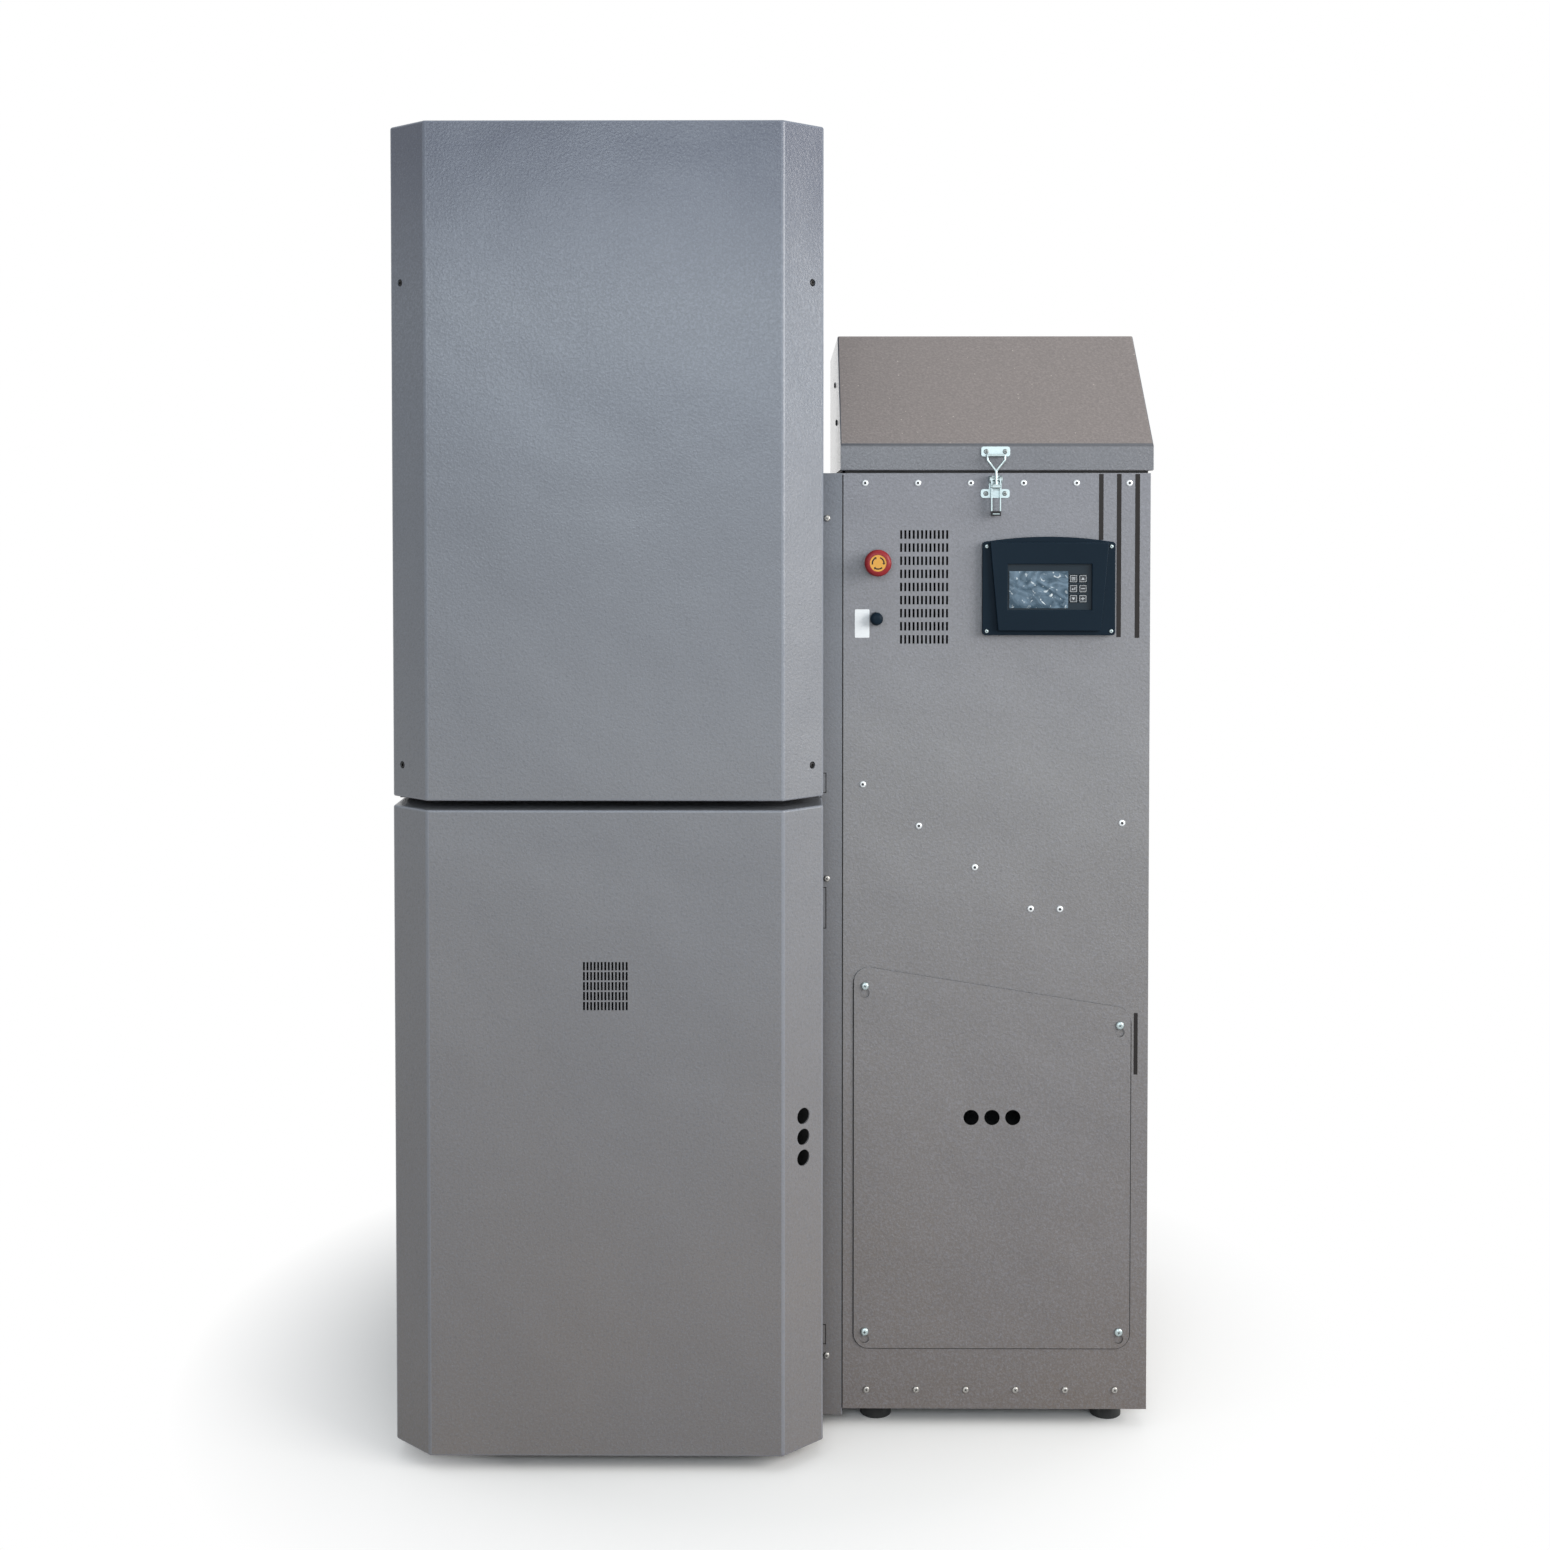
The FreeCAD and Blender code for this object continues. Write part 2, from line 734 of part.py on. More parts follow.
def turbulator(number, x, y):
    strip = body(f"turbulator_{number}")
    step = f"turbulator_length / {ZIGZAG_BENDS}"
    sway = [f"{(-1) ** bend} * turbulator_sway" if bend else "0" for bend in range(ZIGZAG_BENDS + 1)]
    bends = [(f"{x} + {out}", f"smokebox_low - {bend} * {step}") for bend, out in enumerate(sway)]
    near = [(f"{middle} - turbulator_sheet", height) for middle, height in bends]
    far = [(f"{middle} + turbulator_sheet", height) for middle, height in bends]
    pad(strip, "XZ_Plane", f"-({y}) - turbulator_width / 2", "turbulator_width", [near + far[::-1]])
    bar = rectangle(
        (f"{x} - turbulator_sheet", f"{x} + turbulator_sheet"),
        ("smokebox_low", "smokebox_low + turbulator_sway"),
    )
    bar_half = "(fire_tube_bore / 2 + turbulator_sway)"
    pad(strip, "XZ_Plane", f"-({y}) - {bar_half}", f"2 * {bar_half}", [bar])
    return strip


group("turbulators", [turbulator(number, x, y) for number, (x, y) in enumerate(tube_places, start=1)])


# Bolted hatches over the firebox and the smoke box, each a plate with a pan for its insulation


def hatch(name, low, high):
    owner = body(name)
    plug = rectangle(
        ("-firebox_half + hatch_fit", "firebox_half - hatch_fit"),
        (f"{low} + hatch_fit", f"{high} - hatch_fit"),
    )
    cover = rectangle(
        ("-firebox_half - hatch_margin", "firebox_half + hatch_margin"),
        (f"{low} - hatch_margin", f"{high} + hatch_margin"),
    )
    pad(owner, "XZ_Plane", "-vessel_front", "hatch_plate", [cover])
    pad(owner, "XZ_Plane", "-vessel_front - hatch_plug", "hatch_plug", [plug])
    hollow = rectangle(
        ("-firebox_half + hatch_fit + hatch_wall", "firebox_half - hatch_fit - hatch_wall"),
        (f"{low} + hatch_fit + hatch_wall", f"{high} - hatch_fit - hatch_wall"),
    )
    pocket(owner, "XZ_Plane", "-vessel_front - hatch_plug", "hatch_plug", [hollow], turned=True)
    return node(name, owner)


hatch("firebox_hatch", "firebox_low", "firebox_top")
hatch("smokebox_hatch", "smokebox_low", "smokebox_top")


KNOB_LOBES = 3


def hatch_knob(name, x, z):
    """A lobed hand nut that seats on its hatch."""
    front = "vessel_front - hatch_plate - knob_rise"
    pieces = [rod(f"{name}_hub", "y", (x, front, z), "knob_hub / 2", "knob_rise")]
    for lobe in range(KNOB_LOBES):
        turn = f"({lobe} * 360 deg / {KNOB_LOBES})"
        spot_x = f"{x} + knob_lobe_circle / 2 * sin({turn})"
        spot_z = f"{z} + knob_lobe_circle / 2 * cos({turn})"
        pieces.append(rod(f"{name}_lobe", "y", (spot_x, front, spot_z), "knob_lobe / 2", "knob_rise"))
    return joined(name, pieces)


knob_heights = [
    "firebox_low - knob_edge",
    "firebox_top + knob_edge",
    "smokebox_low - knob_edge",
    "smokebox_top + knob_edge",
]
knobs = [
    hatch_knob("hatch_knob", f"{side} * knob_spread / 2", height)
    for height in knob_heights
    for side in (-1, 1)
]
group("hatch_knobs", knobs)


# Ash box: an open tray on the firebox floor with a grip bar at its front

ash_half = "(firebox_half - ash_box_fit)"
ash_front = "(vessel_front + hatch_plug + ash_box_fit)"
ash_back = f"({ash_front} + ash_box_depth)"
ash_box = body("ash_box")
ash_foot = rectangle((f"-{ash_half}", ash_half), (ash_front, ash_back))
ash_well = rectangle(
    (f"-{ash_half} + cover_sheet", f"{ash_half} - cover_sheet"),
    (f"{ash_front} + cover_sheet", f"{ash_back} - cover_sheet"),
)
pad(ash_box, "XY_Plane", "firebox_low", "ash_box_height", [ash_foot])
pocket(ash_box, "XY_Plane", "firebox_low + ash_box_height", "ash_box_height - cover_sheet", [ash_well])
node("ash_box", ash_box)


# Jacket: plain side panels, top and back around the insulated vessel

jacket_z = ("base_height", "jacket_top")
jacket_y = ("jacket_front", "jacket_back")
node("jacket_left_panel", block("jacket_left", ("-jacket_half", "-jacket_inner"), jacket_y, jacket_z))
right_panel = plate(
    "jacket_right_panel",
    "YZ_Plane",
    "jacket_inner",
    "panel_sheet",
    [rectangle(jacket_y, jacket_z)],
    [("burner_y", "burner_height", "flame_tube / 2 + hatch_fit")],
)
node("jacket_right_panel", right_panel)
inner_x = ("-jacket_inner", "jacket_inner")
inner_y = ("jacket_front + cover_sheet", "jacket_back - panel_sheet")
top_z = ("jacket_top - panel_sheet", "jacket_top")
node("jacket_top_panel", block("jacket_top_sheet", inner_x, inner_y, top_z))
back_holes = [("0", "flue_height", "flue_pipe / 2 + hatch_fit")]
back_holes += [(x, z, "socket_pipe / 2 + hatch_fit") for x, z in socket_places]
back_panel = plate(
    "jacket_back_panel", "XZ_Plane", "-jacket_back", "panel_sheet", [rectangle(inner_x, jacket_z)], back_holes
)
node("jacket_back_panel", back_panel)

flue_start = ("0", "vessel_back", "flue_height")
flue_length = "jacket_back - vessel_back + flue_reach"
node("flue_collar", pipe("flue", "y", flue_start, "flue_pipe / 2", "flue_pipe / 2 - flue_wall", flue_length))
socket_length = "jacket_back - vessel_back + socket_reach"
sockets = [
    pipe(f"socket_{number}", "y", (x, "vessel_back", z), "socket_pipe / 2", "socket_bore / 2", socket_length)
    for number, (x, z) in enumerate(socket_places, start=1)
]
group("water_sockets", sockets)


# Front frame: a sheet behind the covers, open at the hatches, with posts for the cover screws

frame = body("front_frame")
frame_sheet = rectangle(inner_x, jacket_z)
frame_openings = [
    rectangle(
        ("-firebox_half - frame_margin_across", "firebox_half + frame_margin_across"),
        (f"{low} - frame_margin_up", f"{high} + frame_margin_up"),
    )
    for low, high in (("firebox_low", "firebox_top"), ("smokebox_low", "smokebox_top"))
]
pad(frame, "XZ_Plane", "-(jacket_front + cover_sheet)", "cover_sheet", [frame_sheet, *frame_openings])


def behind_chamfer(x):
    """The chamfer's inner face, as a depth at a distance from the middle."""
    return f"cover_front + (chamfer_depth * ({x} - half_flat) + cover_sheet * chamfer_face) / chamfer_width"


post_near = "(half_cover - cover_screw_setback * chamfer_width / chamfer_face - cover_post_width / 2)"
post_far = f"({post_near} + cover_post_width)"
for height in ("cover_screw_low", "cover_screw_high"):
    for side in (-1, 1):
        post = [
            (f"{side} * {post_near}", "jacket_front"),
            (f"{side} * {post_far}", "jacket_front"),
            (f"{side} * {post_far}", behind_chamfer(post_far)),
            (f"{side} * {post_near}", behind_chamfer(post_near)),
        ]
        pad(frame, "XY_Plane", f"{height} - cover_post_width / 2", "cover_post_width", [post])
node("front_frame", frame)


# Front covers: one folded section with chamfered sides, closed above and below


def chamfer_sketch(owner, side):
    """A sketch on the outer face of a chamfer: across from its front fold, and up."""
    sketch = sketch_on(owner, "XZ_Plane", "-cover_front")
    bind(sketch, "AttachmentOffset.Base.x", f"{side} * half_flat")
    placement = sketch.AttachmentOffset
    placement.Rotation = FreeCAD.Rotation(FreeCAD.Vector(0, side, 0), 1)
    sketch.AttachmentOffset = placement
    bind(sketch, "AttachmentOffset.Rotation.Angle", "atan2(chamfer_depth; chamfer_width)")
    return sketch


def folded_cover(name, low, high, back):
    owner = body(name)
    outer = [
        ("half_flat", "cover_front"),
        ("half_cover", "cover_front + chamfer_depth"),
        ("half_cover", back),
    ]
    inner = [
        ("half_flat - front_fold_inset", "cover_front + cover_sheet"),
        ("half_cover - cover_sheet", "cover_front + chamfer_depth + side_fold_inset"),
        ("half_cover - cover_sheet", back),
    ]
    whole = outer + [(f"-({x})", y) for x, y in reversed(outer)]
    hollow = inner + [(f"-({x})", y) for x, y in reversed(inner)]
    pad(owner, "XY_Plane", low, f"{high} - {low}", [whole])
    pocket(owner, "XY_Plane", f"{high} - cover_sheet", f"{high} - {low} - 2 * cover_sheet", [hollow])
    return owner


upper_cover = folded_cover("upper_front_cover", "cover_low", "cover_top", "jacket_front")
screw_across = "chamfer_face - cover_screw_setback"
for side in (-1, 1):
    screw_holes = [
        (f"{side} * ({screw_across})", height, "cover_screw_hole / 2")
        for height in ("cover_screw_low", "cover_screw_high")
    ]
    face_sketch = chamfer_sketch(upper_cover, side)
    pocket(upper_cover, None, None, "2 * cover_sheet", circles=screw_holes, sketch=face_sketch)
node("upper_front_cover", upper_cover)

door = folded_cover("lower_front_door", "door_floor_gap", "door_top", "door_back")
grip_holes = [
    ("chamfer_face / 2", f"finger_middle + {step} * finger_pitch", "finger_hole / 2")
    for step in (-1, 0, 1)
]
pocket(door, None, None, "2 * cover_sheet", circles=grip_holes, sketch=chamfer_sketch(door, 1))
grille_left = "-(grille_columns - 1) / 2 * grille_pitch_across - grille_slot_width / 2"
grille_low = "grille_middle - (grille_rows - 1) / 2 * grille_pitch_up - grille_slot_height / 2"
slot = rectangle(
    (grille_left, f"{grille_left} + grille_slot_width"),
    (grille_low, f"{grille_low} + grille_slot_height"),
)
first_slot = pocket(door, "XZ_Plane", "-cover_front", "2 * cover_sheet", [slot])
repeat(door, first_slot, ("grille_pitch_across", "grille_pitch_up"), ("grille_columns", "grille_rows"))
pin_holes = [("pivot_x", "pivot_y", "hinge_pin / 2 + running_fit")]
pocket(door, "XY_Plane", "door_top", "door_height", circles=pin_holes)
node("lower_front_door", door)


# Cover screws: dark button heads sunk in the chamfer holes


def cover_screw(name, side, height):
    screw = body(name)
    sketch = chamfer_sketch(screw, side)
    fill(sketch, (), [(f"{side} * ({screw_across})", height, "cover_screw_hole / 2 - slide_gap")])
    feature = screw.newObject("PartDesign::Pad", f"{name}_pad")
    feature.Profile = sketch
    feature.Reversed = True
    bind(feature, "Length", "cover_sheet")
    doc.recompute()
    return screw


cover_screws = [
    cover_screw(f"cover_screw_{side + 2}", side, height)
    for side in (-1, 1)
    for height in ("cover_screw_low", "cover_screw_high")
]
group("cover_screws", cover_screws)


# Pivot hinge of the door: pinned plates on the boiler, a bolted strap inside the door

hinge_y = ("pivot_y - hinge_plate_width / 2", "jacket_front")
hinge_x = ("pivot_x - hinge_plate_width / 2 + hinge_plate_setback", "pivot_x + hinge_plate_width / 2")
upper_z = ("hinge_plate_high", "hinge_plate_high + hinge_plate")
upper_plate = block("hinge_plate_upper", hinge_x, hinge_y, upper_z)
upper_pin = rod(
    "hinge_pin_upper",
    "z",
    ("pivot_x", "pivot_y", "door_top - hinge_pin_reach"),
    "hinge_pin / 2",
    "hinge_plate_high - door_top + hinge_pin_reach",
)
lower_z = ("hinge_plate_low", "hinge_plate_low + hinge_plate")
lower_plate = block("hinge_plate_lower", hinge_x, hinge_y, lower_z)
lower_pin = rod(
    "hinge_pin_lower",
    "z",
    ("pivot_x", "pivot_y", "hinge_plate_low + hinge_plate"),
    "hinge_pin / 2",
    "door_floor_gap + hinge_pin_reach - hinge_plate_low - hinge_plate",
)
hinge_pairs = [
    joined("hinge_upper", [upper_plate, upper_pin]),
    joined("hinge_lower", [lower_plate, lower_pin]),
]
group("door_hinge_plates", hinge_pairs)

strap_x = ("-half_cover + cover_sheet", "-half_cover + cover_sheet + hinge_strap_width")
strap_y = ("door_back - hinge_strap_width - hinge_strap_setback", "door_back - hinge_strap_setback")
strap_z = ("door_top - cover_sheet - hinge_strap_height", "door_top - cover_sheet")
strap_body = block("strap_block", strap_x, strap_y, strap_z)
strap_bore = rod(
    "strap_bore",
    "z",
    ("pivot_x", "pivot_y", "door_top - cover_sheet - hinge_strap_height"),
    "hinge_pin / 2 + running_fit",
    "hinge_strap_height",
)
node("door_hinge_strap", cut("door_hinge_strap", strap_body, [strap_bore]))


def hinge_bolt(name, height):
    start = ("-half_cover - hinge_bolt_rise", "pivot_y", height)
    return rod(name, "x", start, "hinge_bolt_head / 2", "hinge_bolt_rise")


hinge_heights = {"hinge_bolt_upper": "hinge_bolt_high", "hinge_bolt_lower": "hinge_bolt_low"}
group("hinge_bolts", [hinge_bolt(name, height) for name, height in hinge_heights.items()])


# Joining strip: a channel that closes the gap between boiler and cabinet

strip = body("joining_strip")
strip_section = [
    ("jacket_half", "cabinet_front"),
    ("cabinet_left", "cabinet_front"),
    ("cabinet_left", "cabinet_front + strip_return"),
    ("cabinet_left - panel_sheet", "cabinet_front + strip_return"),
    ("cabinet_left - panel_sheet", "inner_front"),
    ("jacket_half + panel_sheet", "inner_front"),
    ("jacket_half + panel_sheet", "cabinet_front + strip_return"),
    ("jacket_half", "cabinet_front + strip_return"),
]
pad(strip, "XY_Plane", "strip_low", "cabinet_top - strip_low", [strip_section])
node("joining_strip", strip)


# Cabinet: front, sides, back and a base tray on feet

cabinet_z = ("cabinet_low", "cabinet_top")
side_y = ("inner_front", "cabinet_back")


def access_outline(margin):
    """The access cover's outline with its falling top edge, drawn in by a margin."""
    fall = "hatch_cover_fall / hatch_cover_width"
    left = f"hatch_x + {margin}"
    right = f"hatch_x_end - {margin}"
    return [
        (left, f"hatch_cover_low + {margin}"),
        (right, f"hatch_cover_low + {margin}"),
        (right, f"hatch_z_end - {margin} + {fall} * {margin}"),
        (left, f"hatch_cover_high - {margin} - {fall} * {margin}"),
    ]


front_sheet = rectangle(("cabinet_left", "cabinet_right"), cabinet_z)
box_room = "(controller_box_margin + controller_box_gap)"
controller_opening = rectangle(
    (f"window_x - {box_room}", f"window_x_end + {box_room}"),
    (f"window_z - {box_room}", f"window_z_end + {box_room}"),
)
front_openings = [controller_opening, access_outline("hatch_cover_margin")]
front_holes = [
    ("stop_x", "stop_height", "stop_collar / 2 - stop_neck_inset"),
    ("reset_x", "reset_height", "reset_neck / 2 + slide_gap"),
]
front_cuts = [front_sheet, *front_openings]
front = plate("cabinet_front_panel", "XZ_Plane", "-inner_front", "panel_sheet", front_cuts, front_holes)
vent = rectangle(
    ("cabinet_left + vent_left - vent_slot_width / 2", "cabinet_left + vent_left + vent_slot_width / 2"),
    ("vent_low - vent_slot_height / 2", "vent_low + vent_slot_height / 2"),
)
first_vent = pocket(front, "XZ_Plane", "-cabinet_front", "panel_sheet", [vent])
repeat(front, first_vent, ("vent_pitch_across", "vent_pitch_up"), ("vent_columns", "vent_rows"))
node("cabinet_front_panel", front)

flame_hole = [("burner_y", "burner_height", "flame_tube / 2 + hatch_fit")]
side_sheet = [rectangle(side_y, cabinet_z)]
left_side = plate("cabinet_left_side", "YZ_Plane", "cabinet_left", "panel_sheet", side_sheet, flame_hole)
node("cabinet_left_panel", left_side)
right_side = plate("cabinet_right_side", "YZ_Plane", "inner_right", "panel_sheet", side_sheet)
node("cabinet_right_panel", right_side)
shaft_hole = [("outlet_x", "screw_z", "screw_shaft / 2 + hatch_fit")]
back_sheet = [rectangle(("inner_left", "inner_right"), cabinet_z)]
back_side = plate("cabinet_back_sheet", "XZ_Plane", "-cabinet_back", "panel_sheet", back_sheet, shaft_hole)
node("cabinet_back_panel", back_side)

tray = body("cabinet_base")
tray_floor = rectangle(("inner_left", "inner_right"), ("inner_front", "inner_back"))
pad(tray, "XY_Plane", "cabinet_low", "panel_sheet", [tray_floor])
foot_places = [
    (x, y, "cabinet_foot / 2")
    for x in ("cabinet_left + cabinet_foot_inset", "cabinet_right - cabinet_foot_inset")
    for y in ("cabinet_front + cabinet_foot_inset", "cabinet_back - cabinet_foot_inset")
]
pad(tray, "XY_Plane", "0", "cabinet_low", circles=foot_places)
node("cabinet_base", tray)


def inside_walls(inset):
    """A rectangle inside the cabinet walls, drawn in by an inset."""
    return rectangle(
        (f"inner_left + {inset}", f"inner_right - {inset}"),
        (f"inner_front + {inset}", f"inner_back - {inset}"),
    )


rim_opening = rectangle(
    ("inner_left + rim_width", "inner_right - rim_width"),
    ("bay_back + panel_sheet", "inner_back - rim_width"),
)
rim_bounds = [inside_walls("0"), rim_opening]
node("bin_rim", plate("bin_rim", "XY_Plane", "cabinet_top - panel_sheet", "panel_sheet", rim_bounds))
seal_bounds = [inside_walls("panel_sheet"), inside_walls("(panel_sheet + seal_width)")]
node("lid_seal", plate("lid_seal", "XY_Plane", "cabinet_top", "seal_height", seal_bounds))


# Pellet bin: two sloping sheets that end in a neck over the feed screw, and a wall before the controls


def bin_slope(name, wall, shoulder, edge, side):
    """One sloping sheet: side is -1 on the left and 1 on the right."""
    owner = body(name)
    section = [
        (wall, shoulder),
        (edge, "bin_outlet_height"),
        (edge, "neck_low"),
        (f"{edge} + {side} * panel_sheet", "neck_low"),
        (f"{edge} + {side} * panel_sheet", "bin_outlet_height - 2 * panel_sheet"),
        (wall, f"{shoulder} - 2 * panel_sheet"),
    ]
    pad(owner, "XZ_Plane", "-inner_back", "inner_back - inner_front", [section])
    return owner


outlet_left = "outlet_x - bin_outlet_width / 2"
outlet_right = "outlet_x + bin_outlet_width / 2"
bin_wall = body("bin_wall")
wall_section = [
    ("bay_back", "cabinet_top - panel_sheet"),
    ("bay_back", "control_bay_low"),
    ("inner_front", "control_bay_low - control_bay"),
    ("inner_front", "control_bay_low - control_bay - 2 * panel_sheet"),
    ("bay_back + panel_sheet", "control_bay_low - panel_sheet"),
    ("bay_back + panel_sheet", "cabinet_top - panel_sheet"),
]
pad(bin_wall, "YZ_Plane", "inner_left", "inner_right - inner_left", [wall_section])
bin_sheets = [
    bin_slope("bin_slope_left", "inner_left", "bin_shoulder", outlet_left, -1),
    bin_slope("bin_slope_right", "inner_right", "bin_right_shoulder", outlet_right, 1),
    bin_wall,
]
group("bin_sheets", bin_sheets)


# Rivets along the top and along the bin slopes, screws along the bottom and on the strip


def front_head(name, x, z, radius, rise):
    return rod(name, "y", (x, f"cabinet_front - {rise}", z), radius, rise)


ROW_COUNT = 6
SLOPE_COUNT = 4
rivet_places = [
    (f"cabinet_left + rivet_first + {step} * rivet_pitch", "cabinet_top - rivet_row_drop")
    for step in range(ROW_COUNT)
]
left_fall = "(bin_shoulder - bin_outlet_height) / (outlet_x - bin_outlet_width / 2 - inner_left)"
right_fall = "(bin_right_shoulder - bin_outlet_height) / (inner_right - outlet_x - bin_outlet_width / 2)"
for step in range(SLOPE_COUNT):
    along = f"(bin_rivet_first + {step} * bin_rivet_pitch)"
    rivet_places.append((f"inner_left + {along}", f"bin_shoulder - {left_fall} * {along}"))
for along in ("bin_rivet_right", "(bin_rivet_right + bin_rivet_right_pitch)"):
    rivet_places.append((f"inner_right - {along}", f"bin_right_shoulder - {right_fall} * {along}"))
rivets = [front_head("rivet", x, z, "rivet_head / 2", "rivet_rise") for x, z in rivet_places]
group("front_rivets", rivets)

screw_places = [
    (f"cabinet_left + screw_first + {step} * screw_row_pitch", "cabinet_low + screw_row_rise")
    for step in range(ROW_COUNT)
]
strip_heights = ("strip_screw_low", "strip_screw_middle", "strip_screw_high")
screw_places += [("jacket_half + strip_screw_setback", height) for height in strip_heights]
panel_screws = [
    front_head("panel_screw", x, z, "panel_screw_head / 2", "panel_screw_rise") for x, z in screw_places
]
group("panel_screws", panel_screws)


# Access cover: hangs on four headed screws by keyholes and lifts off

hook_places = [
    ("hatch_x + hook_inset", "hatch_cover_low + hook_low_rise"),
    ("hatch_x_end - hook_inset", "hatch_cover_low + hook_low_rise"),
    ("hatch_x + hook_inset", "hatch_cover_high - hook_high_drop"),
    ("hatch_x_end - hook_inset", "hatch_z_end - hook_right_drop"),
]
access_back = "-(cabinet_front - slide_gap)"
access = plate("access_cover", "XZ_Plane", access_back, "panel_sheet", [access_outline("0")])
round_edges(access, "hatch_cover_corner", runs_along("y"))
for x, z in hook_places:
    slot_x = (f"{x} - keyhole_slot / 2", f"{x} + keyhole_slot / 2")
    pocket(access, "XZ_Plane", "-hatch_y", "panel_sheet", [rectangle(slot_x, (f"{z} - keyhole_drop", z))])
    slot_end = [(x, z, "keyhole_slot / 2")]
    pocket(access, "XZ_Plane", "-hatch_y", "panel_sheet", circles=slot_end)
    mouth = [(x, f"{z} - keyhole_drop", "keyhole_mouth / 2")]
    pocket(access, "XZ_Plane", "-hatch_y", "panel_sheet", circles=mouth)
grips = [(f"grip_x + {step} * grip_pitch", "grip_middle", "grip_hole / 2") for step in (-1, 0, 1)]
pocket(access, "XZ_Plane", "-hatch_y", "panel_sheet", circles=grips)
node("access_cover", access)


def hook_screw(x, z):
    """A headed screw whose shank passes the keyhole."""
    under_head = "(hatch_y - slide_gap)"
    shank_start = (x, under_head, z)
    shank = rod("hook_shank", "y", shank_start, "hook_shank / 2", f"cabinet_front - {under_head}")
    head_start = (x, f"{under_head} - hook_head_rise", z)
    head = rod("hook_head", "y", head_start, "hook_head / 2", "hook_head_rise")
    return joined("hook_screw", [shank, head])


group("cover_hook_screws", [hook_screw(x, z) for x, z in hook_places])


# Lid: a folded hood with a sloping front, an inward flange on the seal and an open mouth

lid = body("bin_lid")
lid_section = [
    ("lid_front", "lid_low"),
    ("lid_front", "lid_bend"),
    ("lid_front + lid_slope", "lid_top"),
    ("lid_back", "lid_top"),
    ("lid_back", "lid_low"),
]
lid_hollow = [
    ("lid_front + panel_sheet", "lid_low + panel_sheet"),
    ("lid_front + panel_sheet", "lid_bend - lid_fold"),
    ("lid_front + lid_slope + lid_fold", "lid_top - panel_sheet"),
    ("lid_back - panel_sheet", "lid_top - panel_sheet"),
    ("lid_back - panel_sheet", "lid_low + panel_sheet"),
]
pad(lid, "YZ_Plane", "lid_left", "lid_right - lid_left", [lid_section])
pocket(lid, "YZ_Plane", "lid_right - panel_sheet", "lid_right - lid_left - 2 * panel_sheet", [lid_hollow])
mouth_inset = "(2 * panel_sheet + seal_width)"
lid_mouth = rectangle(
    (f"inner_left + {mouth_inset}", f"inner_right - {mouth_inset}"),
    (f"inner_front + {mouth_inset}", f"inner_back - {mouth_inset}"),
)
pocket(lid, "XY_Plane", "lid_low + panel_sheet", "panel_sheet", [lid_mouth])
node("bin_lid", lid)


# Lid hinges: a leaf with a middle knuckle and the pin on the cabinet, two knuckles on the lid

lid_middle = "(cabinet_left + cabinet_width / 2)"
barrel = "lid_hinge_barrel / 2"
third = "lid_hinge_length / 3"


def knuckle(name, start, length):
    return rod(name, "x", (start, "lid_axis_y", "lid_axis_z"), barrel, length)


def hinge_leaf(name, start, length, low, high):
    leaf_y = ("cabinet_back", "cabinet_back + lid_hinge_leaf")
    return block(name, (start, f"{start} + {length}"), leaf_y, (low, high))


def lid_hinge(number, side):
    """The two halves of one hinge, the cabinet's first."""
    start = f"{lid_middle} + {side} * lid_hinge_spread / 2 - lid_hinge_length / 2"
    clear = f"({barrel} + slide_gap)"
    axis_start = (start, "lid_axis_y", "lid_axis_z")
    leaf_low = "lid_axis_z - lid_hinge_leaf_height"
    leaf_high = "lid_axis_z + lid_hinge_leaf_height"
    fixed = [
        hinge_leaf("fixed_leaf", start, "lid_hinge_length", leaf_low, f"lid_axis_z - {clear}"),
        hinge_leaf("fixed_tongue", f"{start} + {third}", third, f"lid_axis_z - {clear}", "lid_axis_z"),
        knuckle("fixed_knuckle", f"{start} + {third}", third),
        rod("lid_pin", "x", axis_start, "lid_hinge_pin / 2", "lid_hinge_length"),
    ]
    moving = [hinge_leaf("lid_leaf", start, "lid_hinge_length", f"lid_axis_z + {clear}", leaf_high)]
    short = f"{third} - slide_gap"
    for outer in (start, f"{start} + 2 * {third} + slide_gap"):
        moving.append(hinge_leaf("lid_tongue", outer, short, "lid_low", f"lid_axis_z + {clear}"))
        moving.append(knuckle("lid_knuckle", outer, short))
    bore = rod("lid_bore", "x", axis_start, "lid_hinge_pin / 2 + running_fit", "lid_hinge_length")
    flap = cut(f"lid_flap_{number}", joined(f"lid_flap_whole_{number}", moving), [bore])
    return joined(f"fixed_half_{number}", fixed), flap


lid_hinges = [lid_hinge(number, side) for number, side in enumerate((-1, 1), start=1)]
group("lid_hinge_leaves", [fixed for fixed, flap in lid_hinges])
group("lid_hinge_flaps", [flap for fixed, flap in lid_hinges])


# Controller: an arched bezel with a raised face, a recessed window, a display and six keys

